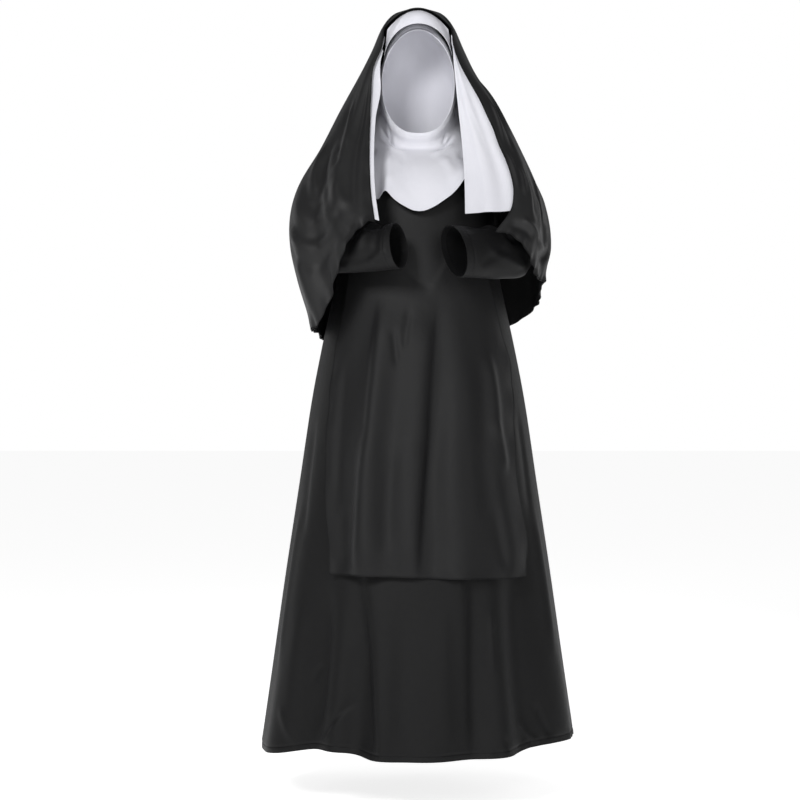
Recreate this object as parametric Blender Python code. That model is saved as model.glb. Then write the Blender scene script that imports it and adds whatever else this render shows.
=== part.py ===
"""Nun habit, worn and empty: robe, sleeves, scapular, wimple, forehead band, veil and its linings.

Every piece is a closed cloth wall built from a grid of outer points. Heights in the tables are
above the ground the wearer stands on; z = 0 is the shoulder seam, where the wearer holds the habit.
The wearer faces -Y; left and right are as seen from the front (+X is right).
"""
import math

import bmesh
import bpy
from mathutils import Vector

# ------------------------------------------------------------------ named sizes (metres)
SHOULDER_HEIGHT = 1.38      # shoulder seam above the ground
WALL = 0.0020               # black cloth wall
WALL_WHITE = 0.0018         # white cloth wall
SEAM_GAP = 0.0003           # space between pieces at a seam

ROBE_HEM = 0.115            # hem above the ground, about which it rises and falls
BODICE = 1.20               # height where the skirt and bodice rows meet
ARMHOLE_X = 0.165           # armhole plane, out from the middle
ARMHOLE_MID = 1.310         # armhole centre height
ARMHOLE_HALF_DEPTH = 0.058
ARMHOLE_HALF_HEIGHT = 0.070
BODICE_SPREAD = 1.8         # how far the bodice columns lean out to the armhole
NECK_X = 0.075              # neck side point
NECK_HEIGHT = 1.402
NECK_FRONT_Y = 0.075
NECK_FRONT_HEIGHT = 1.372

# robe rings: half width, depth to the front and to the back of the middle plane
ROBE_RINGS = {
    "height":     (0.115, 0.330, 0.506, 0.680, 0.858, 0.990, 1.100, 1.200),
    "half_width": (0.343, 0.311, 0.286, 0.260, 0.233, 0.208, 0.184, 0.164),
    "front":      (0.300, 0.270, 0.246, 0.218, 0.186, 0.158, 0.138, 0.128),
    "back":       (0.285, 0.256, 0.232, 0.204, 0.172, 0.148, 0.128, 0.116),
}

# hem height round the robe, by angle from the front centre
ROBE_HEM_LINE = {
    "angle":  (-90, -60, -42, -28, -16, 10, 30, 58, 90, 140, 200, 240, 270),
    "height": (0.095, 0.108, 0.126, 0.126, 0.116, 0.114, 0.117, 0.131, 0.132, 0.122, 0.115, 0.104, 0.095),
}

# robe folds, front: angle round from the front centre (left negative), width, depth, where it starts
ROBE_FRONT_FOLDS = (
    {"angle": -62, "width": 9, "depth": 0.012, "start": 0.95},
    {"angle": -43, "width": 10, "depth": -0.017, "start": 0.80},
    {"angle": -32, "width": 7, "depth": 0.012, "start": 0.60},
    {"angle": -24, "width": 6, "depth": -0.017, "start": 0.50},
    {"angle": -14, "width": 7, "depth": 0.013, "start": 0.48},
    {"angle": 2, "width": 8, "depth": 0.007, "start": 0.50},
    {"angle": 18, "width": 7, "depth": -0.014, "start": 0.50},
    {"angle": 31, "width": 7, "depth": 0.011, "start": 0.66},
    {"angle": 45, "width": 9, "depth": -0.018, "start": 0.85},
    {"angle": 66, "width": 9, "depth": 0.013, "start": 0.95},
)
ROBE_BACK_FOLDS = (
    {"angle": 112, "width": 9, "depth": 0.015, "start": 0.95},
    {"angle": 132, "width": 9, "depth": -0.018, "start": 0.85},
    {"angle": 153, "width": 9, "depth": 0.016, "start": 0.90},
    {"angle": 172, "width": 8, "depth": -0.015, "start": 0.75},
    {"angle": 189, "width": 9, "depth": 0.017, "start": 0.90},
    {"angle": 211, "width": 10, "depth": -0.017, "start": 0.80},
    {"angle": 232, "width": 8, "depth": 0.014, "start": 0.95},
    {"angle": 250, "width": 8, "depth": -0.012, "start": 0.85},
)

# sleeve rings from armhole to cuff: "in" runs armpit, elbow crook, top of the forearm;
# "out" runs shoulder, back of the elbow, underside of the forearm; half is the other half width
SLEEVE_RIGHT = {
    "in_x":       (0.1656, 0.173, 0.178, 0.180, 0.178, 0.168, 0.148, 0.118, 0.086, 0.055),
    "in_y":       (0.000, -0.004, -0.012, -0.028, -0.052, -0.080, -0.114, -0.149, -0.183, -0.216),
    "in_height":  (1.240, 1.238, 1.233, 1.226, 1.219, 1.215, 1.215, 1.217, 1.220, 1.222),
    "out_x":      (0.1656, 0.196, 0.226, 0.246, 0.256, 0.252, 0.226, 0.184, 0.138, 0.092),
    "out_y":      (0.000, 0.002, 0.004, -0.004, -0.036, -0.098, -0.153, -0.192, -0.224, -0.252),
    "out_height": (1.380, 1.377, 1.352, 1.305, 1.240, 1.165, 1.130, 1.122, 1.118, 1.116),
    "half":       (0.058, 0.057, 0.054, 0.050, 0.046, 0.043, 0.041, 0.041, 0.040, 0.037),
}
SLEEVE_LEFT = {
    "in_x":       (-0.1656, -0.173, -0.178, -0.180, -0.178, -0.168, -0.143, -0.108, -0.074, -0.042),
    "in_y":       (0.000, -0.004, -0.012, -0.028, -0.052, -0.080, -0.114, -0.149, -0.183, -0.216),
    "in_height":  (1.240, 1.238, 1.233, 1.226, 1.219, 1.216, 1.217, 1.220, 1.223, 1.225),
    "out_x":      (-0.1656, -0.196, -0.226, -0.246, -0.256, -0.252, -0.218, -0.166, -0.106, -0.043),
    "out_y":      (0.000, 0.002, 0.004, -0.004, -0.036, -0.098, -0.153, -0.192, -0.224, -0.252),
    "out_height": (1.380, 1.377, 1.352, 1.305, 1.240, 1.166, 1.134, 1.130, 1.131, 1.133),
    "half":       (0.058, 0.057, 0.054, 0.050, 0.046, 0.043, 0.041, 0.041, 0.040, 0.038),
}

# scapular edges, front and back, down from the chest
SCAPULAR_EDGES = {
    "height": (0.492, 0.550, 0.620, 0.720, 0.840, 0.930, 1.000, 1.100, 1.200),
    "left":   (-0.188, -0.192, -0.198, -0.200, -0.193, -0.184, -0.172, -0.154, -0.140),
    "right":  (0.228, 0.231, 0.221, 0.208, 0.205, 0.199, 0.182, 0.156, 0.140),
}
SCAPULAR_LIFT = 0.014        # space over the robe's own surface
SCAPULAR_HEM_DROP = 0.009     # how much lower the hem hangs at its right corner
SCAPULAR_TOP_SHARE = 0.62    # half width at the shoulder, as a share across the bodice
# scapular folds: side position (share of the half width) at the top and at the hem
SCAPULAR_FOLDS = (
    {"top": 1.12, "at_top": -0.44, "at_hem": -0.66, "width_top": 0.13, "width_hem": 0.14, "depth": 0.015},
    {"top": 1.10, "at_top": -0.66, "at_hem": -0.90, "width_top": 0.13, "width_hem": 0.13, "depth": -0.008},
    {"top": 1.06, "at_top": -0.22, "at_hem": -0.36, "width_top": 0.12, "width_hem": 0.16, "depth": -0.006},
    {"top": 1.16, "at_top": 0.28, "at_hem": 0.03, "width_top": 0.13, "width_hem": 0.15, "depth": -0.013},
    {"top": 1.10, "at_top": 0.48, "at_hem": 0.34, "width_top": 0.10, "width_hem": 0.18, "depth": 0.006},
    {"top": 1.08, "at_top": 0.74, "at_hem": 0.84, "width_top": 0.12, "width_hem": 0.12, "depth": 0.010},
)
SCAPULAR_BACK_FOLDS = (
    {"top": 1.05, "at_top": -0.45, "at_hem": -0.55, "width_top": 0.08, "width_hem": 0.13, "depth": 0.012},
    {"top": 1.00, "at_top": 0.05, "at_hem": -0.05, "width_top": 0.08, "width_hem": 0.14, "depth": -0.010},
    {"top": 1.05, "at_top": 0.50, "at_hem": 0.62, "width_top": 0.08, "width_hem": 0.12, "depth": 0.011},
)

# wimple rings from the face edge, over the head and neck, to the bib hem
WIMPLE_RINGS = {
    "front_y":      (-0.088, -0.082, -0.074, -0.072, -0.086, -0.118, -0.146, -0.165),
    "front_height": (1.434, 1.422, 1.412, 1.402, 1.390, 1.360, 1.318, 1.272),
    "side_x":       (0.079, 0.083, 0.085, 0.093, 0.103, 0.116, 0.132, 0.148),
    "side_y":       (-0.062, -0.040, 0.000, 0.012, 0.008, 0.000, -0.004, -0.006),
    "side_height":  (1.550, 1.550, 1.542, 1.500, 1.455, 1.428, 1.414, 1.404),
    "back_y":       (-0.060, -0.034, 0.040, 0.086, 0.084, 0.078, 0.090, 0.108),
    "back_height":  (1.662, 1.684, 1.688, 1.620, 1.520, 1.440, 1.420, 1.395),
}
# scallops of the bib hem: angle round from the front middle (left negative), rise
WIMPLE_HEM = {
    "angle": (-75, -50, -38, -31, -24, -16, -8, 0, 8, 16, 24, 30, 41, 55, 80),
    "rise":  (0.0, 0.004, -0.010, -0.012, 0.016, 0.006, -0.004, -0.013, -0.006, 0.003, 0.009, 0.015, 0.026, 0.010, 0.0),
}

# veil sections from crown to hem; "edge" is the front edge, "side" the widest point
VEIL_LEFT = {
    "edge_x":      (-0.020, -0.048, -0.072, -0.078, -0.097, -0.101, -0.103, -0.104, -0.103, -0.099, -0.091),
    "edge_y":      (-0.014, -0.036, -0.062, -0.080, -0.090, -0.105, -0.128, -0.158, -0.190, -0.222, -0.252),
    "edge_height": (1.711, 1.702, 1.668, 1.622, 1.572, 1.515, 1.455, 1.396, 1.336, 1.280, 1.227),
    "side_x":      (-0.030, -0.060, -0.082, -0.103, -0.132, -0.174, -0.218, -0.268, -0.279, -0.262, -0.228),
    "side_y":      (0.004, 0.006, 0.008, 0.010, 0.010, 0.005, -0.010, -0.040, -0.075, -0.080, -0.060),
    "side_height": (1.709, 1.696, 1.668, 1.622, 1.562, 1.482, 1.392, 1.300, 1.212, 1.120, 1.012),
}
VEIL_RIGHT = {
    "edge_x":      (0.020, 0.048, 0.070, 0.076, 0.094, 0.125, 0.153, 0.174, 0.196, 0.196, 0.160),
    "edge_y":      (-0.014, -0.036, -0.062, -0.080, -0.090, -0.102, -0.118, -0.140, -0.166, -0.196, -0.222),
    "edge_height": (1.711, 1.702, 1.668, 1.622, 1.572, 1.515, 1.455, 1.396, 1.332, 1.266, 1.211),
    "side_x":      (0.030, 0.060, 0.082, 0.103, 0.132, 0.182, 0.226, 0.262, 0.279, 0.280, 0.270),
    "side_y":      (0.004, 0.006, 0.008, 0.010, 0.010, 0.005, -0.010, -0.040, -0.078, -0.092, -0.085),
    "side_height": (1.709, 1.696, 1.668, 1.622, 1.562, 1.482, 1.392, 1.308, 1.232, 1.168, 1.112),
}
VEIL_BACK = {
    "back_y":      (0.034, 0.072, 0.102, 0.116, 0.118, 0.126, 0.143, 0.161, 0.179, 0.197, 0.214),
    "back_height": (1.709, 1.692, 1.655, 1.600, 1.530, 1.430, 1.330, 1.238, 1.152, 1.064, 0.976),
}
VEIL_ROWS = 20               # cloth rows from crown to hem
VEIL_CLOSED_ROWS = 4         # rows that also close over the forehead
VEIL_SIDE_CELLS = 13         # from a front edge to the back centre
VEIL_FRONT_CELLS = 4         # over the forehead
VEIL_CROWN_HEIGHT = 1.713
# veil folds: share of the way from front edge to back centre at the top and hem
VEIL_FOLDS_LEFT = (
    {"start": 0.30, "at_top": 0.10, "at_hem": 0.09, "width": 0.035, "depth": 0.009},
    {"start": 0.35, "at_top": 0.20, "at_hem": 0.19, "width": 0.04, "depth": -0.010},
    {"start": 0.45, "at_top": 0.34, "at_hem": 0.30, "width": 0.05, "depth": 0.007},
    {"start": 0.55, "at_top": 0.62, "at_hem": 0.64, "width": 0.05, "depth": 0.013},
    {"start": 0.50, "at_top": 0.76, "at_hem": 0.77, "width": 0.05, "depth": -0.012},
    {"start": 0.50, "at_top": 0.90, "at_hem": 0.90, "width": 0.05, "depth": 0.013},
)
VEIL_FOLDS_RIGHT = (
    {"start": 0.30, "at_top": 0.14, "at_hem": 0.12, "width": 0.05, "depth": 0.008},
    {"start": 0.45, "at_top": 0.30, "at_hem": 0.28, "width": 0.05, "depth": -0.009},
    {"start": 0.55, "at_top": 0.60, "at_hem": 0.60, "width": 0.05, "depth": 0.012},
    {"start": 0.50, "at_top": 0.73, "at_hem": 0.74, "width": 0.05, "depth": -0.012},
    {"start": 0.50, "at_top": 0.87, "at_hem": 0.88, "width": 0.05, "depth": 0.014},
)

LINING_WIDTH = 0.100         # white strip on the veil's front edge
LINING_RIGHT_END = 0.91      # share of the way down the veil where the right strip ends
LINING_GAP = 0.0045          # set in from the veil at its edge
LINING_PEEK = {              # how far the left strip's edge shows past the veil
    "down": (0.33, 0.37, 0.42, 0.50, 0.60, 1.00),
    "peek": (0.006, 0.010, 0.016, 0.019, 0.011, 0.008),
}
LINING_DEPTH = 0.0100        # set in from the veil further back

# forehead band
BAND_HALF = 0.074            # half width at its ends
BAND_ARCH = 1.668            # lower edge at the middle
BAND_END_LOW = 1.606
BAND_TUCK = 0.0055           # top edge under the veil


# ------------------------------------------------------------------ helpers
def lerp(a, b, t):
    return a + (b - a) * t


def clamp(value, low=0.0, high=1.0):
    return max(low, min(high, value))


def soft(t):
    t = clamp(t)
    return t * t * (3.0 - 2.0 * t)


def column(table, key, name, value):
    """Smooth value of a table column at a place along its key column."""
    xs = table[key]
    ys = table[name]
    if value <= xs[0]:
        return ys[0]
    if value >= xs[-1]:
        return ys[-1]
    i = max(k for k in range(len(xs) - 1) if xs[k] <= value)
    step = xs[i + 1] - xs[i]
    t = (value - xs[i]) / step

    def slope(k):
        if k == 0:
            return (ys[1] - ys[0]) / (xs[1] - xs[0])
        if k == len(xs) - 1:
            return (ys[-1] - ys[-2]) / (xs[-1] - xs[-2])
        return (ys[k + 1] - ys[k - 1]) / (xs[k + 1] - xs[k - 1])

    h00 = 2 * t ** 3 - 3 * t ** 2 + 1
    h10 = t ** 3 - 2 * t ** 2 + t
    h01 = -2 * t ** 3 + 3 * t ** 2
    h11 = t ** 3 - t ** 2
    return h00 * ys[i] + h10 * step * slope(i) + h01 * ys[i + 1] + h11 * step * slope(i + 1)


def along(table, name, t):
    """Value of a table column at a share t of the way down its rows."""
    count = len(table[name])
    rows = {"row": tuple(range(count)), name: table[name]}
    return column(rows, "row", name, clamp(t) * (count - 1))


def bump(distance, width):
    return math.exp(-(distance / width) ** 2)


def material(name, colour, roughness, sheen):
    mat = bpy.data.materials.new(name)
    mat.use_nodes = True
    shader = mat.node_tree.nodes["Principled BSDF"]
    shader.inputs["Base Color"].default_value = (*colour, 1.0)
    shader.inputs["Roughness"].default_value = roughness
    shader.inputs["Metallic"].default_value = 0.0
    shader.inputs["Sheen Weight"].default_value = sheen
    return mat


def grid_normals(grid, cells, wrap):
    """Point normals of a grid, averaged over the cells that are kept."""
    normals = {}
    count = len(grid[0])
    for row, col in cells:
        nxt = (col + 1) % count if wrap else col + 1
        corners = ((row, col), (row, nxt), (row + 1, nxt), (row + 1, col))
        a, b, c, d = (grid[i][j] for i, j in corners)
        face = (c - a).cross(d - b)
        for corner in corners:
            normals[corner] = normals.get(corner, Vector((0, 0, 0))) + face
    return {key: value.normalized() for key, value in normals.items()}


def shell(name, grid, mat, wall=WALL, wrap=False, skip=None, cap=None, square=None):
    """Closed cloth wall: grid rows of outer points, moved in by the wall and joined round every edge.

    wrap joins the last column to the first, skip(row, col) leaves a cell out, cap is an outer point
    closing row 0, and square(row, col) names axes the wall direction may not lean along at a seam.
    """
    rows = len(grid)
    cols = len(grid[0])
    last = cols if wrap else cols - 1
    cells = [(i, j) for i in range(rows - 1) for j in range(last) if not (skip and skip(i, j))]
    normals = grid_normals(grid, cells, wrap)
    verts = []
    outer = {}
    inner = {}
    for key, normal in normals.items():
        if square:
            flat = Vector([0.0 if axis in square(*key) else part for axis, part in zip("xyz", normal)])
            normal = flat.normalized() if flat.length > 0.05 else normal
        point = grid[key[0]][key[1]]
        outer[key] = len(verts)
        verts.append(point)
        inner[key] = len(verts)
        verts.append(point - normal * wall)
    faces = []
    edges = {}

    def add(keys):
        faces.append([outer[k] for k in keys])
        faces.append([inner[k] for k in reversed(keys)])
        for one, two in zip(keys, keys[1:] + keys[:1]):
            if (two, one) in edges:
                del edges[(two, one)]
            else:
                edges[(one, two)] = True

    def add_cell(a, b, c, d):
        """Both faces of the wall are cut along the same, shorter diagonal."""
        place_a, place_b, place_c, place_d = (verts[outer[key]] for key in (a, b, c, d))
        if (place_a - place_c).length <= (place_b - place_d).length:
            add([a, b, c])
            add([a, c, d])
        else:
            add([a, b, d])
            add([b, c, d])

    for row, col in cells:
        nxt = (col + 1) % cols
        add_cell((row, col), (row, nxt), (row + 1, nxt), (row + 1, col))
    if cap is not None:
        outer["cap"] = len(verts)
        verts.append(cap)
        inner["cap"] = len(verts)
        verts.append(cap - Vector((0, 0, wall)))
        for col in range(last):
            add(["cap", (0, (col + 1) % cols), (0, col)])
    for one, two in edges:
        faces.append([outer[two], outer[one], inner[one], inner[two]])
    mesh = bpy.data.meshes.new(name)
    mesh.from_pydata([tuple(v) for v in verts], [], faces)
    work = bmesh.new()
    work.from_mesh(mesh)
    bmesh.ops.recalc_face_normals(work, faces=work.faces)
    work.to_mesh(mesh)
    work.free()
    mesh.materials.append(mat)
    obj = bpy.data.objects.new(name, mesh)
    bpy.context.collection.objects.link(obj)
    return obj


def place(x, y, height):
    return Vector((x, y, height - SHOULDER_HEIGHT))


# ------------------------------------------------------------------ robe
def robe_ring(angle, height):
    """Unfolded robe surface: angle from the front centre in degrees, right positive."""
    turn = math.radians(angle)
    wide = column(ROBE_RINGS, "height", "half_width", height)
    deep = column(ROBE_RINGS, "height", "front" if math.cos(turn) >= 0 else "back", height)
    return wide * math.sin(turn), -deep * math.cos(turn)


def robe_folded(angle, height, folds):
    x, y = robe_ring(angle, height)
    out = 0.0
    for fold in folds:
        fall = soft((fold["start"] - height) / (fold["start"] - ROBE_HEM))
        out += fold["depth"] * fall * bump(angle - fold["angle"], fold["width"])
    length = math.hypot(x, y)
    return x * (1 + out / length), y * (1 + out / length)


def bodice_end(u, front):
    """Top edge of a robe panel: u 0 neck middle, 1/3 neck side, 2/3 shoulder tip, 1 armpit."""
    side = 1.0 if u >= 0 else -1.0
    u = abs(u)
    face = -1.0 if front else 1.0
    if u > 2 / 3:
        turn = math.pi * (1 - u) * 3
        y = face * ARMHOLE_HALF_DEPTH * math.sin(turn)
        return side * ARMHOLE_X, y, ARMHOLE_MID - ARMHOLE_HALF_HEIGHT * math.cos(turn)
    if u > 1 / 3:
        t = (u - 1 / 3) * 3
        return side * lerp(NECK_X, ARMHOLE_X, t), 0.0, lerp(NECK_HEIGHT, SHOULDER_HEIGHT, t)
    turn = math.pi / 2 * u * 3
    deep = NECK_FRONT_Y if front else NECK_FRONT_Y - 0.010
    low = NECK_FRONT_HEIGHT if front else NECK_HEIGHT - 0.008
    return side * NECK_X * math.sin(turn), face * deep * math.cos(turn), lerp(low, NECK_HEIGHT, math.sin(turn) ** 2)


def dome(start, end, t):
    """Point on the rounded way from the chest up to a top edge point."""
    turn = math.pi / 2 * t
    x = lerp(start[0], end[0], soft(t) if abs(end[0]) > abs(start[0]) else math.sin(turn))
    y = end[1] + (start[1] - end[1]) * math.cos(turn)
    return x, y, start[2] + (end[2] - start[2]) * math.sin(turn)


def bodice_point(u, t, front):
    """Robe surface above the bodice line: u across as in bodice_end, t from that line to the top edge."""
    angle = math.copysign(90 * abs(u) ** BODICE_SPREAD, u)
    x, y = robe_ring(angle if front else 180 - angle, BODICE)
    return Vector(dome((x, y, BODICE), bodice_end(u, front), t))


def bodice_lifted(u, t, front, lift):
    """The same surface moved out along its own normal."""
    step = 0.02
    across = bodice_point(u + step, t, front) - bodice_point(u - step, t, front)
    upward = bodice_point(u, t, front) - bodice_point(u, t - step, front)
    normal = across.cross(upward) * (1 if front else -1)
    if t > 0.999 and abs(u) > 1 / 3:
        normal.y = 0.0
    return bodice_point(u, t, front) + normal.normalized() * lift


def robe_panel(name, front, side_cells, skirt_rows, top_rows, mat):
    """Robe front or back: side seams at the middle plane, top on neck, shoulder and armhole."""
    folds = ROBE_FRONT_FOLDS if front else ROBE_BACK_FOLDS
    part = -1.0 if front else 1.0
    grid = []
    for row in range(skirt_rows + top_rows + 1):
        line = []
        for col in range(-side_cells, side_cells + 1):
            u = col / side_cells
            u = u if front else -u
            around = 90 * u if front else 180 - 90 * u
            hem = column(ROBE_HEM_LINE, "angle", "height", around)
            height = lerp(hem, BODICE, min(1.0, row / skirt_rows))
            spread = lerp(1.0, BODICE_SPREAD, soft((height - 0.85) / (BODICE - 0.85)))
            angle = math.copysign(90 * abs(u) ** spread, u)
            angle = angle if front else 180 - angle
            if row <= skirt_rows:
                x, y = robe_folded(angle, height, folds)
                point = [x, y, height]
            else:
                point = list(bodice_point(u, (row - skirt_rows) / top_rows, front))
            if abs(point[1]) < 1e-4:
                point[1] = part * SEAM_GAP / 2
            line.append(place(*point))
        grid.append(line)
    top = skirt_rows + top_rows

    def seam_axes(row, col):
        u = abs(col - side_cells) / side_cells
        axes = ""
        if u > 0.999 or (row == top and 0.32 < u < 0.67):
            axes += "y"
        return axes

    return shell(name, grid, mat, square=seam_axes)


# ------------------------------------------------------------------ sleeves
def sleeve(name, table, mat, around=12):
    count = len(table["half"])
    ins = [place(table["in_x"][k], table["in_y"][k], table["in_height"][k]) for k in range(count)]
    outs = [place(table["out_x"][k], table["out_y"][k], table["out_height"][k]) for k in range(count)]
    middles = [(one + two) / 2 for one, two in zip(ins, outs)]
    grid = []
    for k, middle in enumerate(middles):
        axis = middles[min(k + 1, count - 1)] - middles[max(k - 1, 0)]
        if k == 0:
            axis = Vector((axis.x, 0, 0))
        reach = (outs[k] - ins[k]) / 2
        across = axis.cross(reach).normalized() * table["half"][k]
        line = []
        for step in range(around):
            turn = 2 * math.pi * step / around
            line.append(middle + across * math.cos(turn) - reach * math.sin(turn))
        grid.append(line)
    return shell(name, grid, mat, wrap=True, square=lambda row, col: "x" if row == 0 else "")


# ------------------------------------------------------------------ scapular
def scapular_panel(name, front, hem, cells, skirt_rows, top_rows, folds, mat):
    """Loose panel from the shoulder down, made from the robe's surface moved out."""
    face = -1.0 if front else 1.0
    grid = []
    for row in range(skirt_rows + top_rows + 1):
        line = []
        for col in range(cells + 1):
            s = lerp(-1, 1, col / cells)
            s = s if front else -s
            t = max(0.0, (row - skirt_rows) / top_rows)
            low = hem - SCAPULAR_HEM_DROP * soft((s + 1) / 2)
            height = lerp(low, BODICE, min(1.0, row / skirt_rows))
            left = column(SCAPULAR_EDGES, "height", "left", height)
            right = column(SCAPULAR_EDGES, "height", "right", height)
            x = lerp((left + right) / 2, right, s) if s > 0 else lerp((left + right) / 2, left, -s)
            wide = column(ROBE_RINGS, "height", "half_width", height)
            deep = column(ROBE_RINGS, "height", "front" if front else "back", height)
            out = SCAPULAR_LIFT * (1 - 0.6 * t) + 0.004 * (1 - t)
            for fold in folds:
                fall = soft((fold["top"] - height) / (fold["top"] - hem) * 1.5)
                share = clamp((fold["top"] - height) / (fold["top"] - hem))
                place_s = lerp(fold["at_top"], fold["at_hem"], share)
                width = lerp(fold["width_top"], fold["width_hem"], share)
                out += fold["depth"] * fall * bump(s - place_s, width)
            flat = math.sqrt(max(0.05, 1 - (x / (wide + 0.01)) ** 2))
            point = (x, face * (deep * flat + out), height)
            if t > 0:
                u = (math.asin(clamp(abs(x) / wide)) / (math.pi / 2)) ** (1 / BODICE_SPREAD)
                u = lerp(math.copysign(u, x), s * SCAPULAR_TOP_SHARE, t)
                point = bodice_lifted(u, t, front, out)
            x, y, height = point
            if abs(y) < 1e-4:
                y = face * SEAM_GAP / 2
            line.append(place(x, y, height))
        grid.append(line)
    top = skirt_rows + top_rows
    return shell(name, grid, mat, square=lambda row, col: "y" if row == top else "")


# ------------------------------------------------------------------ wimple
def wimple(mat, around=26, rows=10):
    """Hood round the face: rings turn back from the face edge over the head, then down to the bib."""
    grid = []
    for row in range(rows + 1):
        t = row / rows
        ring = {name: along(WIMPLE_RINGS, name, t) for name in WIMPLE_RINGS}
        line = []
        for step in range(around):
            turn = 2 * math.pi * step / around
            full = lerp(0.78 if math.cos(turn) > 0 else 1.0, 0.80, t)
            forward = math.copysign(abs(math.cos(turn)) ** full, math.cos(turn))
            aside = math.copysign(abs(math.sin(turn)) ** full, math.sin(turn))
            front = (1 + forward) / 2
            middle_y = lerp(ring["back_y"], ring["front_y"], front)
            middle_h = lerp(ring["back_height"], ring["front_height"], front)
            swell = math.sin(turn) ** 2
            y = middle_y + (ring["side_y"] - (ring["front_y"] + ring["back_y"]) / 2) * swell
            height = middle_h + (ring["side_height"] - (ring["front_height"] + ring["back_height"]) / 2) * swell
            narrow = 1 - 0.10 * (1 - t) * math.cos(turn) ** 2
            facing = (math.degrees(-turn) + 180) % 360 - 180
            height += column(WIMPLE_HEM, "angle", "rise", facing) * soft((t - 0.72) / 0.28)
            line.append(place(-ring["side_x"] * aside * narrow, y, height))
        grid.append(line)
    return shell("wimple", grid, mat, wall=WALL_WHITE, wrap=True)


# ------------------------------------------------------------------ veil, band and linings
def veil_point(side, t, s):
    """Veil surface: t from crown to hem, s from the front edge (0) to the back centre (1)."""
    table = VEIL_LEFT if side < 0 else VEIL_RIGHT
    edge_x = along(table, "edge_x", t)
    edge_y = along(table, "edge_y", t)
    edge_h = along(table, "edge_height", t)
    side_x = along(table, "side_x", t)
    side_y = along(table, "side_y", t)
    side_h = along(table, "side_height", t)
    back_y = along(VEIL_BACK, "back_y", t)
    back_h = along(VEIL_BACK, "back_height", t)
    split = 0.45
    if s < split:
        turn = math.pi / 2 * s / split
        full = lerp(1.0, 0.72, soft((t - 0.5) * 2))
        x = edge_x + (side_x - edge_x) * math.sin(turn) ** full
        y = side_y + (edge_y - side_y) * abs(math.cos(turn)) ** full
        dip = lerp(s / split, soft(s / split / 0.67), soft((t - 0.5) * 2))
        height = lerp(edge_h, side_h, dip)
    else:
        turn = math.pi / 2 * (s - split) / (1 - split)
        x = side_x * math.cos(turn)
        y = side_y + (back_y - side_y) * math.sin(turn)
        sink = lerp(soft((s - split) / (1 - split)), math.sin(turn), soft((t - 0.5) * 2))
        height = lerp(side_h, back_h, sink)
    out = 0.0
    for fold in VEIL_FOLDS_LEFT if side < 0 else VEIL_FOLDS_RIGHT:
        fall = soft((t - fold["start"]) / (1 - fold["start"]) * 1.3)
        out += fold["depth"] * fall * bump(s - lerp(fold["at_top"], fold["at_hem"], t), fold["width"])
    away = Vector((x, y * 1.6, 0))
    away.normalize()
    return place(x, y, height) + away * out


def veil(mat):
    grid = []
    for row in range(VEIL_ROWS + 1):
        t = row / VEIL_ROWS
        line = [veil_point(-1, t, k / VEIL_SIDE_CELLS) for k in range(VEIL_SIDE_CELLS)]
        line += [veil_point(1, t, k / VEIL_SIDE_CELLS) for k in range(VEIL_SIDE_CELLS, -1, -1)]
        for k in range(1, VEIL_FRONT_CELLS):
            q = k / VEIL_FRONT_CELLS
            line.append(forehead_edge(t, q))
        grid.append(line)
    front = 2 * VEIL_SIDE_CELLS
    return shell("veil", grid, mat, wrap=True, cap=place(0, 0.006, VEIL_CROWN_HEIGHT),
                 skip=lambda row, col: row >= VEIL_CLOSED_ROWS and col >= front)


def forehead_edge(t, q):
    """Front of the veil over the forehead: q runs from its right end (0) to its left end (1)."""
    right = veil_point(1, t, 0.0)
    left = veil_point(-1, t, 0.0)
    rise = 4 * q * (1 - q) * min(t * VEIL_ROWS / VEIL_CLOSED_ROWS, 1.0) ** 2
    return right.lerp(left, q) + Vector((0, -0.008 * rise, 0.040 * rise))


def forehead_band(mat, cells=12, rows=3):
    """White band: top edge just under the veil's front edge, arched lower edge standing forward."""
    ends = math.radians(78)
    grid = []
    for row in range(rows + 1):
        t = row / rows
        line = []
        for col in range(cells + 1):
            s = lerp(-1, 1, col / cells)
            turn = s * ends
            arch = (1 - math.cos(turn)) / (1 - math.cos(ends))
            x = BAND_HALF * math.sin(turn) / math.sin(ends)
            low = place(x, -0.042 - 0.060 * math.cos(turn), lerp(BAND_ARCH, BAND_END_LOW, arch))
            edge = forehead_edge(VEIL_CLOSED_ROWS / VEIL_ROWS, (1 - s) / 2)
            high = Vector((edge.x * 0.93, edge.y + 0.004, edge.z - BAND_TUCK))
            point = low.lerp(high, t)
            point.y -= 0.006 * math.sin(math.pi * t) * math.cos(turn)
            point.z += 0.008 * math.sin(math.pi * t) * math.cos(turn)
            line.append(point)
        grid.append(line)
    return shell("forehead_band", grid, mat, wall=WALL_WHITE)


def lining_turned_out(mat, rows=12, cells=4):
    """Right strip: hangs in from the veil's front edge, flat to the front."""
    grid = []
    for row in range(rows + 1):
        t = lerp(LINING_RIGHT_END, 0.24, row / rows)
        edge = veil_point(1, t, 0.03) + Vector((0.0, 0.0045, 0.0))
        inner_x = lerp(0.074, 0.098, soft((t - 0.24) / 0.60))
        line = []
        for col in range(cells + 1):
            q = col / cells
            x = lerp(min(inner_x, edge.x - 0.004), edge.x, q)
            dip = 0.010 * bump(q - 0.45, 0.22) * soft(t)
            lean = lerp(0.010, 0.0, q) * soft(t)
            line.append(Vector((x, edge.y + lean - dip + 0.004, edge.z - 0.006 * (1 - q) * t)))
        grid.append(line)
    return shell("veil_lining_right", grid, mat, wall=WALL_WHITE)


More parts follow.
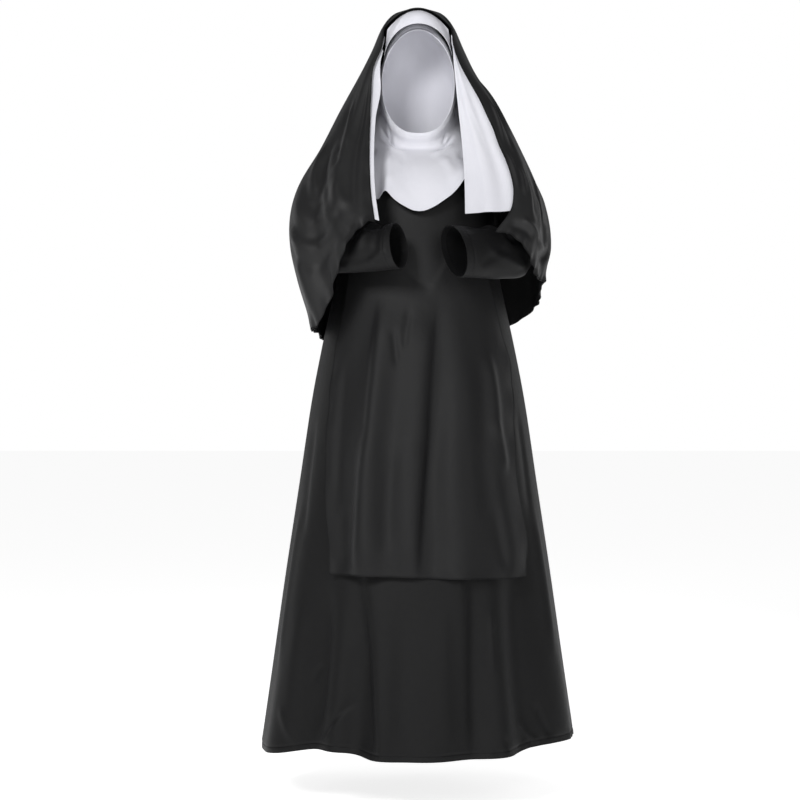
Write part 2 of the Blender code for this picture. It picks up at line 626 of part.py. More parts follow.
def lining_turned_back(mat, rows=11, cells=4):
    """Left strip: its edge shows past the veil's front edge, the rest lies back under the veil."""
    grid = []
    for row in range(rows + 1):
        t = lerp(1.0, 0.33, row / rows)
        line = []
        for col in range(cells + 1):
            q = col / cells
            width = LINING_WIDTH * lerp(0.55, 1.0, soft((t - 0.33) / 0.5))
            reach = min(width * q * 2.2, 0.40)
            level = t * (1 - 0.22 * q)
            point = veil_point(-1, level, reach)
            ahead = veil_point(-1, level, reach + 0.02)
            tangent = Vector((ahead.x - point.x, ahead.y - point.y, 0)).normalized()
            inward = Vector((-tangent.y, tangent.x, 0))
            if inward.y < 0:
                inward = -inward
            point = point + inward * (LINING_GAP if col == 0 else LINING_DEPTH)
            if col == 0:
                point += Vector((column(LINING_PEEK, "down", "peek", t), 0.0, 0.0))
            line.append(point + Vector((0, 0, 0.004)))
        grid.append(list(reversed(line)))
    return shell("veil_lining_left", grid, mat, wall=WALL_WHITE)


# ------------------------------------------------------------------ build
for old in list(bpy.data.objects):
    bpy.data.objects.remove(old, do_unlink=True)

black = material("black_cloth", (0.020, 0.020, 0.023), 0.62, 0.15)
black_sleeve = material("sleeve_cloth", (0.020, 0.020, 0.023), 0.62, 0.15)
black_scapular = material("scapular_cloth", (0.022, 0.022, 0.025), 0.60, 0.15)
black_veil = material("veil_cloth", (0.018, 0.018, 0.021), 0.60, 0.20)
white = material("white_cloth", (0.78, 0.78, 0.83), 0.75, 0.05)
white_lining = material("lining_cloth", (0.80, 0.80, 0.84), 0.75, 0.05)

robe_panel("robe_front", True, 15, 10, 4, black)
robe_panel("robe_back", False, 12, 8, 4, black)
sleeve("sleeve_right", SLEEVE_RIGHT, black_sleeve)
sleeve("sleeve_left", SLEEVE_LEFT, black_sleeve)
scapular_panel("scapular_front", True, 0.492, 18, 9, 4, SCAPULAR_FOLDS, black_scapular)
scapular_panel("scapular_back", False, 0.505, 9, 7, 4, SCAPULAR_BACK_FOLDS, black_scapular)
wimple(white)
forehead_band(white)
veil(black_veil)
lining_turned_out(white_lining)
lining_turned_back(white_lining)
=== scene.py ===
"""Looks of the nun habit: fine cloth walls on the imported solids' forms, with folds, hems and stitches.

Heights in the tables are above the ground; z = 0 is the shoulder seam. The wearer faces -Y, and
left and right are as seen from the front (+X is right). Distances are metres, angles degrees.
"""
import math

import bmesh
import bpy
import numpy as np
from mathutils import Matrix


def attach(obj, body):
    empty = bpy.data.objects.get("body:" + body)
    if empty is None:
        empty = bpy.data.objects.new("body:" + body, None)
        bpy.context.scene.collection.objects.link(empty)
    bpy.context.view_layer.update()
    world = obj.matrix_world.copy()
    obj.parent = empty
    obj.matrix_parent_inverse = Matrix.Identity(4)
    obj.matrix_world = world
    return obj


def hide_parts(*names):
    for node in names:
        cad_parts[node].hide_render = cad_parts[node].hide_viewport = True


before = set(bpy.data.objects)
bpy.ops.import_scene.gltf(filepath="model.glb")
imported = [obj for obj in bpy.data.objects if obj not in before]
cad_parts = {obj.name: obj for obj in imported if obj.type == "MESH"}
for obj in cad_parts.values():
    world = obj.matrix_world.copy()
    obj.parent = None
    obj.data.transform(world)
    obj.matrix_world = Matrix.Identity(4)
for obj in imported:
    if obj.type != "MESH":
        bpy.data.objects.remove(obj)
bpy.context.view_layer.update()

# ------------------------------------------------------------------ sizes shared with the solids
SHOULDER_HEIGHT = 1.38
SEAM_GAP = 0.0003
ROBE_HEM = 0.115
BODICE = 1.20
ARMHOLE_X = 0.165
ARMHOLE_MID = 1.310
ARMHOLE_HALF_DEPTH = 0.058
ARMHOLE_HALF_HEIGHT = 0.070
BODICE_SPREAD = 1.8
NECK_X = 0.075
NECK_HEIGHT = 1.402
NECK_FRONT_Y = 0.075
NECK_FRONT_HEIGHT = 1.372

ROBE_RINGS = {
    "height":     (0.115, 0.330, 0.506, 0.680, 0.858, 0.990, 1.100, 1.200),
    "half_width": (0.343, 0.311, 0.286, 0.260, 0.233, 0.208, 0.184, 0.164),
    "front":      (0.300, 0.270, 0.246, 0.218, 0.186, 0.158, 0.138, 0.128),
    "back":       (0.285, 0.256, 0.232, 0.204, 0.172, 0.148, 0.128, 0.116),
}
ROBE_HEM_LINE = {
    "angle":  (-90, -60, -42, -28, -16, 10, 30, 58, 90, 140, 200, 240, 270),
    "height": (0.095, 0.108, 0.126, 0.126, 0.116, 0.114, 0.117, 0.131, 0.132, 0.122, 0.115, 0.104, 0.095),
}
# robe folds: angle round from the front centre, width, depth (ridge +, trough -), where it starts
ROBE_FOLDS = (
    (-62, 9, 0.012, 0.95), (-43, 10, -0.017, 0.8), (-32, 7, 0.012, 0.6), (-24, 6, -0.017, 0.5),
    (-14, 7, 0.013, 0.48), (2, 8, 0.007, 0.5), (18, 7, -0.014, 0.5), (31, 7, 0.011, 0.66),
    (45, 9, -0.018, 0.85), (66, 9, 0.013, 0.95), (112, 9, 0.015, 0.95), (132, 9, -0.018, 0.85),
    (153, 9, 0.016, 0.9), (172, 8, -0.015, 0.75), (189, 9, 0.017, 0.9), (211, 10, -0.017, 0.8),
    (232, 8, 0.014, 0.95), (250, 8, -0.012, 0.85),
)

# sleeve rings from armhole to cuff: "in" is the armpit, elbow crook and top of the forearm, "out"
# the shoulder, back of the elbow and underside of the forearm; half is the other half width
SLEEVE_RIGHT = {
    "in_x":       (0.1656, 0.173, 0.178, 0.180, 0.178, 0.168, 0.148, 0.118, 0.086, 0.055),
    "in_y":       (0.000, -0.004, -0.012, -0.028, -0.052, -0.080, -0.114, -0.149, -0.183, -0.216),
    "in_height":  (1.240, 1.238, 1.233, 1.226, 1.219, 1.215, 1.215, 1.217, 1.220, 1.222),
    "out_x":      (0.1656, 0.196, 0.226, 0.246, 0.256, 0.252, 0.226, 0.184, 0.138, 0.092),
    "out_y":      (0.000, 0.002, 0.004, -0.004, -0.036, -0.098, -0.153, -0.192, -0.224, -0.252),
    "out_height": (1.380, 1.377, 1.352, 1.305, 1.240, 1.165, 1.130, 1.122, 1.118, 1.116),
    "half":       (0.058, 0.057, 0.054, 0.050, 0.046, 0.043, 0.041, 0.041, 0.040, 0.037),
}
SLEEVE_LEFT = {
    **SLEEVE_RIGHT,
    "in_x":       (-0.1656, -0.173, -0.178, -0.180, -0.178, -0.168, -0.143, -0.108, -0.074, -0.042),
    "in_height":  (1.240, 1.238, 1.233, 1.226, 1.219, 1.216, 1.217, 1.220, 1.223, 1.225),
    "out_x":      (-0.1656, -0.196, -0.226, -0.246, -0.256, -0.252, -0.218, -0.166, -0.106, -0.043),
    "out_height": (1.380, 1.377, 1.352, 1.305, 1.240, 1.166, 1.134, 1.130, 1.131, 1.133),
    "half":       (0.058, 0.057, 0.054, 0.050, 0.046, 0.043, 0.041, 0.041, 0.040, 0.038),
}

SCAPULAR_EDGES = {
    "height": (0.492, 0.550, 0.620, 0.720, 0.840, 0.930, 1.000, 1.100, 1.200),
    "left":   (-0.188, -0.192, -0.198, -0.200, -0.193, -0.184, -0.172, -0.154, -0.140),
    "right":  (0.228, 0.231, 0.221, 0.208, 0.205, 0.199, 0.182, 0.156, 0.140),
}
SCAPULAR_LIFT = 0.014
SCAPULAR_HEM_DROP = 0.009
SCAPULAR_TOP_SHARE = 0.62
SCAPULAR_HEM_FRONT = 0.492
SCAPULAR_HEM_BACK = 0.505
# scapular folds: top height, side share at the top and hem, width at the top and hem, depth
SCAPULAR_FOLDS = (
    (1.12, -0.44, -0.66, 0.13, 0.14, 0.015), (1.1, -0.66, -0.9, 0.13, 0.13, -0.008),
    (1.06, -0.22, -0.36, 0.12, 0.16, -0.006), (1.16, 0.28, 0.03, 0.13, 0.15, -0.013),
    (1.1, 0.48, 0.34, 0.1, 0.18, 0.006), (1.08, 0.74, 0.84, 0.12, 0.12, 0.01),
)
SCAPULAR_BACK_FOLDS = (
    (1.05, -0.45, -0.55, 0.08, 0.13, 0.012), (1.0, 0.05, -0.05, 0.08, 0.14, -0.01),
    (1.05, 0.5, 0.62, 0.08, 0.12, 0.011),
)

WIMPLE_RINGS = {
    "front_y":      (-0.088, -0.082, -0.074, -0.072, -0.086, -0.118, -0.146, -0.165),
    "front_height": (1.434, 1.422, 1.412, 1.402, 1.390, 1.360, 1.318, 1.272),
    "side_x":       (0.079, 0.083, 0.085, 0.093, 0.103, 0.116, 0.132, 0.148),
    "side_y":       (-0.062, -0.040, 0.000, 0.012, 0.008, 0.000, -0.004, -0.006),
    "side_height":  (1.550, 1.550, 1.542, 1.500, 1.455, 1.428, 1.414, 1.404),
    "back_y":       (-0.060, -0.034, 0.040, 0.086, 0.084, 0.078, 0.090, 0.108),
    "back_height":  (1.662, 1.684, 1.688, 1.620, 1.520, 1.440, 1.420, 1.395),
}
# scallops of the bib hem: angle round from the front middle (left negative), rise
WIMPLE_HEM = {
    "angle": (-75, -50, -38, -31, -24, -16, -8, 0, 8, 16, 24, 30, 41, 55, 80),
    "rise":  (0.0, 0.004, -0.010, -0.012, 0.016, 0.006, -0.004, -0.013, -0.006, 0.003, 0.009, 0.015,
              0.026, 0.010, 0.0),
}

VEIL_LEFT = {
    "edge_x":      (-0.020, -0.048, -0.072, -0.078, -0.097, -0.101, -0.103, -0.104, -0.103, -0.099, -0.091),
    "edge_y":      (-0.014, -0.036, -0.062, -0.080, -0.090, -0.105, -0.128, -0.158, -0.190, -0.222, -0.252),
    "edge_height": (1.711, 1.702, 1.668, 1.622, 1.572, 1.515, 1.455, 1.396, 1.336, 1.280, 1.227),
    "side_x":      (-0.030, -0.060, -0.082, -0.103, -0.132, -0.174, -0.218, -0.268, -0.279, -0.262, -0.228),
    "side_y":      (0.004, 0.006, 0.008, 0.010, 0.010, 0.005, -0.010, -0.040, -0.075, -0.080, -0.060),
    "side_height": (1.709, 1.696, 1.668, 1.622, 1.562, 1.482, 1.392, 1.300, 1.212, 1.120, 1.012),
}
VEIL_RIGHT = {
    "edge_x":      (0.020, 0.048, 0.070, 0.076, 0.094, 0.125, 0.153, 0.174, 0.196, 0.196, 0.160),
    "edge_y":      (-0.014, -0.036, -0.062, -0.080, -0.090, -0.102, -0.118, -0.140, -0.166, -0.196, -0.222),
    "edge_height": (1.711, 1.702, 1.668, 1.622, 1.572, 1.515, 1.455, 1.396, 1.332, 1.266, 1.211),
    "side_x":      (0.030, 0.060, 0.082, 0.103, 0.132, 0.182, 0.226, 0.262, 0.279, 0.280, 0.270),
    "side_y":      (0.004, 0.006, 0.008, 0.010, 0.010, 0.005, -0.010, -0.040, -0.078, -0.092, -0.085),
    "side_height": (1.709, 1.696, 1.668, 1.622, 1.562, 1.482, 1.392, 1.308, 1.232, 1.168, 1.112),
}
VEIL_BACK = {
    "back_y":      (0.034, 0.072, 0.102, 0.116, 0.118, 0.126, 0.143, 0.161, 0.179, 0.197, 0.214),
    "back_height": (1.709, 1.692, 1.655, 1.600, 1.530, 1.430, 1.330, 1.238, 1.152, 1.064, 0.976),
}
VEIL_CROWN_HEIGHT = 1.713
VEIL_CLOSED = 0.20           # share of the way down that closes over the forehead
VEIL_SPLIT = 0.45            # share round where the side turns to the back
# veil folds: start down, share round at the top and hem, width, depth
VEIL_FOLDS_LEFT = (
    (0.3, 0.1, 0.09, 0.035, 0.009), (0.35, 0.2, 0.19, 0.04, -0.01), (0.45, 0.34, 0.3, 0.05, 0.007),
    (0.55, 0.62, 0.64, 0.05, 0.013), (0.5, 0.76, 0.77, 0.05, -0.012), (0.5, 0.9, 0.9, 0.05, 0.013),
)
VEIL_FOLDS_RIGHT = (
    (0.3, 0.14, 0.12, 0.05, 0.008), (0.45, 0.3, 0.28, 0.05, -0.009), (0.55, 0.6, 0.6, 0.05, 0.012),
    (0.5, 0.73, 0.74, 0.05, -0.012), (0.5, 0.87, 0.88, 0.05, 0.014),
)

LINING_WIDTH = 0.100
LINING_RIGHT_END = 0.91      # share of the way down the veil where the right strip ends
LINING_GAP = 0.0045
LINING_PEEK = {              # how far the left strip's edge shows past the veil
    "down": (0.33, 0.37, 0.42, 0.50, 0.60, 1.00),
    "peek": (0.006, 0.010, 0.016, 0.019, 0.011, 0.008),
}
LINING_DEPTH = 0.0100
BAND_HALF = 0.074
BAND_ARCH = 1.668
BAND_END_LOW = 1.606
BAND_TUCK = 0.0055

# ------------------------------------------------------------------ cloth
CLOTH = 0.0009               # black cloth wall
CLOTH_WHITE = 0.0008
HEM_TURN = 0.013             # turned hem of the robe
CUFF_TURN = 0.018


# ------------------------------------------------------------------ helpers
def lerp(a, b, t):
    return a + (b - a) * t


def soft(t):
    t = np.clip(t, 0.0, 1.0)
    return t * t * (3.0 - 2.0 * t)


def bump(distance, width):
    return np.exp(-(distance / width) ** 2)


def vector(x, y, height):
    """Points from x, y and height above the ground, arrays of one shape."""
    x, y, height = np.broadcast_arrays(x, y, height)
    return np.stack((x, y, height - SHOULDER_HEIGHT), axis=-1).astype(float)


def unit(vectors):
    length = np.linalg.norm(vectors, axis=-1, keepdims=True)
    return vectors / np.maximum(length, 1e-9)


def column(table, key, name, at):
    """Smooth values of a table column at places along its key column."""
    xs = np.array(table[key], float)
    ys = np.array(table[name], float)
    slope = np.empty_like(ys)
    slope[1:-1] = (ys[2:] - ys[:-2]) / (xs[2:] - xs[:-2])
    slope[0] = (ys[1] - ys[0]) / (xs[1] - xs[0])
    slope[-1] = (ys[-1] - ys[-2]) / (xs[-1] - xs[-2])
    at = np.clip(at, xs[0], xs[-1])
    i = np.clip(np.searchsorted(xs, at, side="right") - 1, 0, len(xs) - 2)
    step = xs[i + 1] - xs[i]
    t = (at - xs[i]) / step
    h00 = 2 * t ** 3 - 3 * t ** 2 + 1
    h10 = t ** 3 - 2 * t ** 2 + t
    h01 = -2 * t ** 3 + 3 * t ** 2
    h11 = t ** 3 - t ** 2
    return h00 * ys[i] + h10 * step * slope[i] + h01 * ys[i + 1] + h11 * step * slope[i + 1]


def along(table, name, t):
    rows = {"row": range(len(table[name])), name: table[name]}
    return column(rows, "row", name, np.clip(t, 0, 1) * (len(table[name]) - 1))


def turned(a, b, angle):
    """a and b turned by an angle, for waves that cross the cloth askew."""
    turn = math.radians(angle)
    return a * math.cos(turn) + b * math.sin(turn)


def ripple(a, b, size):
    """Gentle uneven waves over a surface with coordinates a and b, about -1 to 1."""
    return (np.sin(turned(a, b, 17) / size * 6.1 + 0.4) * 0.36
            + np.sin(turned(a, b, 74) / size * 4.3 + 2.1) * 0.30
            + np.sin(turned(a, b, 128) / size * 7.7 + 4.4) * 0.22
            + np.sin(turned(a, b, 41) / size * 11.3 + 1.3) * 0.14)


def creases(a, b, rows):
    """Relief of creases: each runs from (a0, b0) to (a1, b1), with width, depth, bow and lean.

    Depth is + for a ridge and - for a trough, bow bends the line sideways at its middle, and lean
    makes one flank softer than the other.
    """
    out = np.zeros(np.broadcast(a, b).shape)
    for a0, b0, a1, b1, width, depth, bow, lean in rows:
        da = a1 - a0
        db = b1 - b0
        length = math.hypot(da, db)
        t = ((a - a0) * da + (b - b0) * db) / length ** 2
        side = ((a - a0) * db - (b - b0) * da) / length - bow * 4 * t * (1 - t)
        ends = soft(t / 0.3 + 0.15) * soft((1 - t) / 0.3 + 0.15)
        out += depth * ends * bump(side, width * (1 + lean * np.tanh(side / width)))
    return out


def spaced(low, high, count, fine_low=0.0, fine_high=0.0):
    """Steps from low to high, closer together towards an end by its share."""
    t = np.linspace(0, 1, count)
    t = t - fine_low * np.sin(math.pi * t) * (1 - t) / math.pi
    t = t + fine_high * np.sin(math.pi * t) * t / math.pi
    return lerp(low, high, t)


def normals_of(points, wrap=False):
    """Outward unit normals of a grid of points."""
    down = np.gradient(points, axis=0)
    if wrap:
        across = (np.roll(points, -1, axis=1) - np.roll(points, 1, axis=1)) / 2
    else:
        across = np.gradient(points, axis=1)
    return unit(np.cross(across, down))


def relieved(points, relief, wrap=False):
    return points + normals_of(points, wrap) * relief[..., None]


def lengths(points, axis):
    """Distance run along an axis of a grid, from its first line."""
    steps = np.linalg.norm(np.diff(points, axis=axis), axis=-1)
    run = np.cumsum(steps, axis=axis)
    pad = [(0, 0), (0, 0)]
    pad[axis] = (1, 0)
    return np.pad(run, pad)


# ------------------------------------------------------------------ materials
def new_material(name, **settings):
    """A material, with its shader's inputs set; an underscore stands for a space in their names."""
    mat = bpy.data.materials.new(name)
    mat.use_nodes = True
    shader = mat.node_tree.nodes["Principled BSDF"]
    for key, value in settings.items():
        shader.inputs[key.replace("_", " ")].default_value = value
    return mat, shader


def new_node(mat, kind, **settings):
    node = mat.node_tree.nodes.new("ShaderNode" + kind)
    for key, value in settings.items():
        node.inputs[key.replace("_", " ")].default_value = value
    return node


def colour_ramp(mat, low, high, dark, light):
    ramp = new_node(mat, "ValToRGB")
    for stop, position, colour in zip(ramp.color_ramp.elements, (low, high), (dark, light)):
        stop.position = position
        stop.color = (*colour, 1.0)
    return ramp


def cloth_material(name, light, dark, roughness, shine, sheen, thread, weave_depth, mottle):
    """Woven cloth: crossed threads and slubs in the bump, slow and fine tone changes in the colour."""
    mat, shader = new_material(name, Metallic=0.0, Specular_IOR_Level=shine, Sheen_Weight=sheen,
                               Sheen_Roughness=0.45, Sheen_Tint=(0.9, 0.92, 1.0, 1.0))
    link = mat.node_tree.links.new
    uv = new_node(mat, "UVMap")
    uv.uv_map = "cloth"
    place = new_node(mat, "TexCoord")

    slow = new_node(mat, "TexNoise", Scale=mottle, Detail=5.0)
    link(place.outputs["Object"], slow.inputs["Vector"])
    stretch = new_node(mat, "Mapping", Scale=(900.0, 60.0, 1.0))
    link(uv.outputs["UV"], stretch.inputs["Vector"])
    slub = new_node(mat, "TexNoise", Scale=1.0, Detail=3.0)
    link(stretch.outputs["Vector"], slub.inputs["Vector"])

    tone = new_node(mat, "Mix")
    tone.data_type = "FLOAT"
    tone.inputs["Factor"].default_value = 0.35
    link(slow.outputs["Fac"], tone.inputs["A"])
    link(slub.outputs["Fac"], tone.inputs["B"])
    ramp = colour_ramp(mat, 0.30, 0.70, dark, light)
    link(tone.outputs["Result"], ramp.inputs["Fac"])
    link(ramp.outputs["Color"], shader.inputs["Base Color"])

    rough = new_node(mat, "MapRange", To_Min=roughness - 0.06, To_Max=roughness + 0.06)
    link(tone.outputs["Result"], rough.inputs["Value"])
    link(rough.outputs["Result"], shader.inputs["Roughness"])

    weave = new_node(mat, "Math")
    weave.operation = "MULTIPLY"
    for slot, direction in enumerate(("X", "Y")):
        wave = new_node(mat, "TexWave", Scale=0.314 / thread, Distortion=0.6, Detail=1.0)
        wave.wave_type = "BANDS"
        wave.bands_direction = direction
        link(uv.outputs["UV"], wave.inputs["Vector"])
        link(wave.outputs["Fac"], weave.inputs[slot])
    both = new_node(mat, "Math")
    both.operation = "ADD"
    link(weave.outputs["Value"], both.inputs[0])
    link(slub.outputs["Fac"], both.inputs[1])
    fine = new_node(mat, "Bump", Strength=0.5, Distance=weave_depth)
    link(both.outputs["Value"], fine.inputs["Height"])

    puck = new_node(mat, "TexNoise", Scale=38.0, Detail=4.0, Roughness=0.55)
    link(place.outputs["Object"], puck.inputs["Vector"])
    broad = new_node(mat, "Bump", Strength=0.35, Distance=0.0016)
    link(puck.outputs["Fac"], broad.inputs["Height"])
    link(broad.outputs["Normal"], fine.inputs["Normal"])
    link(fine.outputs["Normal"], shader.inputs["Normal"])
    return mat


def thread_material(name, colour, roughness, shine, sheen):
    mat, shader = new_material(name, Roughness=roughness, Specular_IOR_Level=shine, Sheen_Weight=sheen)
    link = mat.node_tree.links.new
    noise = new_node(mat, "TexNoise", Scale=900.0)
    link(new_node(mat, "TexCoord").outputs["Object"], noise.inputs["Vector"])
    ramp = colour_ramp(mat, 0.0, 1.0, [c * 0.6 for c in colour], [min(1.0, c * 1.3) for c in colour])
    link(noise.outputs["Fac"], ramp.inputs["Fac"])
    link(ramp.outputs["Color"], shader.inputs["Base Color"])
    return mat


# ------------------------------------------------------------------ meshes
def placed(name, data):
    obj = bpy.data.objects.new(name, data)
    bpy.context.scene.collection.objects.link(obj)
    return obj


def shaded(name, mesh, mat):
    """The mesh as a smooth object with its material."""
    mesh.polygons.foreach_set("use_smooth", np.ones(len(mesh.polygons), bool))
    mesh.materials.append(mat)
    mesh.update()
    return placed(name, mesh)


def cloth_piece(name, points, mat, wall, wrap=False, keep=None, cap=None):
    """Closed thin wall on a grid of outer points; wall may be an array, keep drops cells, cap closes row 0."""
    rows, cols = points.shape[:2]
    count = rows * cols
    index = np.arange(count).reshape(rows, cols)
    if wrap:
        index = np.concatenate((index, index[:, :1]), axis=1)
        ring = np.concatenate((points, points[:, :1]), axis=1)
    else:
        ring = points
    run_u = lengths(ring, 1)
    run_u = run_u - run_u[:, run_u.shape[1] // 2, None]
    run_v = lengths(ring, 0)
    quads = np.stack((index[:-1, :-1], index[:-1, 1:], index[1:, 1:], index[1:, :-1]), axis=-1)
    uv = np.stack((run_u, run_v), axis=-1)
    uv_quads = np.stack((uv[:-1, :-1], uv[:-1, 1:], uv[1:, 1:], uv[1:, :-1]), axis=2)
    if keep is not None:
        quads = quads[keep]
        uv_quads = uv_quads[keep]
    quads = quads.reshape(-1, 4)
    uv_quads = uv_quads.reshape(-1, 4, 2)

    flat = points.reshape(-1, 3)
    face = np.cross(flat[quads[:, 2]] - flat[quads[:, 0]], flat[quads[:, 3]] - flat[quads[:, 1]])
    normal = np.zeros_like(flat)
    for corner in range(4):
        np.add.at(normal, quads[:, corner], face)
    normal = unit(normal)
    thick = np.broadcast_to(wall, (rows, cols)).reshape(-1, 1)
    inner = flat - normal * thick
    outer_faces = [tuple(q) for q in quads.tolist()]
    caps = []
    if cap is not None:
        flat = np.vstack((flat, cap))
        inner = np.vstack((inner, cap - np.array((0, 0, float(np.min(thick))))))
        top = index[0].tolist()
        caps = [(count, two, one) for one, two in zip(top[:-1], top[1:])]
    total = len(flat)

    one = quads.reshape(-1)
    two = np.roll(quads, -1, axis=1).reshape(-1)
    if caps:
        extra = np.array(caps)
        one = np.concatenate((one, extra.reshape(-1)))
        two = np.concatenate((two, np.roll(extra, -1, axis=1).reshape(-1)))
    free = ~np.isin(two * total + one, one * total + two)
    rim_one = one[free]
    rim_two = two[free]
    rim = np.stack((rim_two, rim_one, rim_one + total, rim_two + total), axis=-1)

    faces = outer_faces + caps
    faces += [tuple(i + total for i in reversed(f)) for f in outer_faces + caps]
    faces += [tuple(f) for f in rim.tolist()]
    mesh = bpy.data.meshes.new(name)
    mesh.from_pydata(np.vstack((flat, inner)).tolist(), [], faces)

    layer = mesh.uv_layers.new(name="cloth")
    blank = np.zeros((len(caps) * 3, 2))
    back = uv_quads[:, ::-1].reshape(-1, 2)
    rim_uv = np.zeros((len(rim) * 4, 2))
    corner_uv = np.vstack((uv_quads.reshape(-1, 2), blank, back, blank, rim_uv))
    layer.data.foreach_set("uv", corner_uv.astype(np.float32).reshape(-1))

    edges = np.zeros(len(mesh.edges) * 2, int)
    mesh.edges.foreach_get("vertices", edges)
    edges = np.sort(edges.reshape(-1, 2), axis=1)
    lows = np.minimum(rim_one, rim_two)
    highs = np.maximum(rim_one, rim_two)
    sharp = np.concatenate((lows * 2 * total + highs, (lows + total) * 2 * total + highs + total))
    mark = mesh.attributes.new("sharp_edge", "BOOLEAN", "EDGE")
    mark.data.foreach_set("value", np.isin(edges[:, 0] * 2 * total + edges[:, 1], sharp))

    used = np.zeros(2 * total, bool)
    for f in (quads.reshape(-1), rim.reshape(-1)):
        used[f] = True
    used[total:][used[:total]] = True
    if cap is not None:
        used[count] = True
        used[total + count] = True
    if not used.all():
        work = bmesh.new()
        work.from_mesh(mesh)
        work.verts.ensure_lookup_table()
        loose = [work.verts[i] for i in np.nonzero(~used)[0].tolist()]
        bmesh.ops.delete(work, geom=loose, context="VERTS")
        work.to_mesh(mesh)
        work.free()
    return shaded(name, mesh, mat)


def read_at(at, run, values):
    """Points or directions read off at places along a run."""
    return np.stack([np.interp(at, run, values[:, k]) for k in range(3)], axis=-1)


def resampled(line, up, pitch):
    """Evenly spaced places, directions and surface normals along a line of points."""
    run = np.concatenate(((0.0,), np.cumsum(np.linalg.norm(np.diff(line, axis=0), axis=1))))
    at = np.arange(pitch / 2, run[-1], pitch)
    ahead = read_at(at + pitch / 4, run, line)
    behind = read_at(at - pitch / 4, run, line)
    return read_at(at, run, line), unit(ahead - behind), unit(read_at(at, run, up))


def thread_piece(name, centres, along_dirs, normals, length, radius, mat):
    """Many short stitches as one mesh: each a slim six-sided bead lying on the cloth."""
    side = unit(np.cross(along_dirs, normals))
    ring = 6
    verts = []
    shares = ((-0.5, 0.25), (-0.32, 1.0), (0.32, 1.0), (0.5, 0.25))
    for share, fat in shares:
        for k in range(ring):
            turn = 2 * math.pi * k / ring
            verts.append(centres + along_dirs * length * share
                         + side * radius * fat * math.cos(turn) + normals * radius * fat * math.sin(turn))
    verts = np.stack(verts, axis=1)
    per = verts.shape[1]
    base = []
    for low in range(0, (len(shares) - 1) * ring, ring):
        high = low + ring
        for k in range(ring):
            n = (k + 1) % ring
            base.append((low + k, low + n, high + n, high + k))
    base.append(tuple(range(ring))[::-1])
    base.append(tuple(range((len(shares) - 1) * ring, len(shares) * ring)))
    faces = [tuple(i + per * n for i in f) for n in range(len(centres)) for f in base]
    mesh = bpy.data.meshes.new(name)
    mesh.from_pydata(verts.reshape(-1, 3).tolist(), [], faces)
    return shaded(name, mesh, mat)


def level_line(points, normals, distance, from_end=False):
    """The line that lies a distance along the cloth from row 0 (or the last row)."""
    grid = points[::-1] if from_end else points
    up = normals[::-1] if from_end else normals
    run = lengths(grid, 0)
    columns = range(grid.shape[1])
    line = np.stack([read_at(distance, run[:, c], grid[:, c]) for c in columns])
    return line, unit(np.stack([read_at(distance, run[:, c], up[:, c]) for c in columns]))


# ------------------------------------------------------------------ robe
# creases of the robe front: side distance and height of both ends, width, depth, bow, lean
ROBE_FRONT_CREASES = (
    (-0.137, 0.235, -0.218, 0.15, 0.006, -0.0045, 0.006, 0.3),
    (-0.236, 0.3, -0.262, 0.262, 0.006, -0.0025, 0.002, 0.0),
    (-0.139, 0.54, -0.119, 0.34, 0.026, -0.0075, 0.002, 0.66),
    (-0.121, 0.38, -0.1, 0.09, 0.03, -0.0095, 0.002, 0.68),
    (-0.098, 0.5, -0.066, 0.09, 0.026, 0.006, 0.002, -0.6),
    (0.09, 0.52, 0.096, 0.09, 0.024, 0.0055, 0.002, 0.5),
    (-0.215, 0.47, -0.24, 0.15, 0.02, -0.005, -0.006, 0.2),
    (-0.285, 0.44, -0.32, 0.13, 0.02, 0.004, 0.006, 0.0),
    (0.118, 0.56, 0.132, 0.1, 0.026, -0.0085, 0.004, -0.55),
    (0.158, 0.42, 0.16, 0.28, 0.006, 0.003, 0.001, 0.0),
    (0.23, 0.52, 0.262, 0.12, 0.024, -0.005, 0.008, 0.2),
    (0.05, 0.44, 0.058, 0.11, 0.02, 0.003, 0.004, 0.2),
    (-0.03, 0.44, -0.036, 0.13, 0.018, -0.0022, 0.004, 0.0),
    (0.3, 0.64, 0.35, 0.3, 0.014, 0.004, -0.006, 0.0),
    (-0.32, 0.64, -0.37, 0.28, 0.016, 0.0045, 0.006, 0.0),
    (-0.285, 0.82, -0.3, 0.56, 0.016, -0.004, 0.006, 0.2),
    (0.262, 0.84, 0.29, 0.6, 0.014, -0.0035, -0.004, 0.2),
    (-0.345, 0.21, -0.3, 0.13, 0.01, 0.003, 0.004, 0.0),
    (0.235, 0.19, 0.3, 0.134, 0.007, 0.0028, 0.004, 0.0),
    (0.29, 0.22, 0.335, 0.14, 0.007, -0.0028, 0.003, 0.0),
    (0.18, 0.16, 0.23, 0.118, 0.006, -0.0024, 0.003, 0.0),
)
ROBE_BACK_CREASES = (
    (-0.18, 0.7, -0.24, 0.13, 0.018, -0.0045, 0.01, 0.2),
    (0.15, 0.76, 0.2, 0.15, 0.017, 0.0045, -0.008, 0.2),
    (0.02, 0.82, -0.015, 0.13, 0.02, -0.0045, 0.006, 0.0),
    (-0.09, 0.52, -0.11, 0.12, 0.012, 0.004, 0.004, 0.0),
    (0.27, 0.64, 0.33, 0.15, 0.014, -0.004, 0.006, 0.0),
    (-0.31, 0.62, -0.36, 0.16, 0.013, 0.004, -0.004, 0.0),
    (0.08, 0.4, 0.11, 0.12, 0.011, -0.003, 0.004, 0.0),
    (-0.06, 1.12, 0.08, 1.03, 0.012, -0.003, 0.006, 0.0),
    (0.07, 1.15, -0.05, 1.06, 0.01, 0.0025, -0.006, 0.0),
)


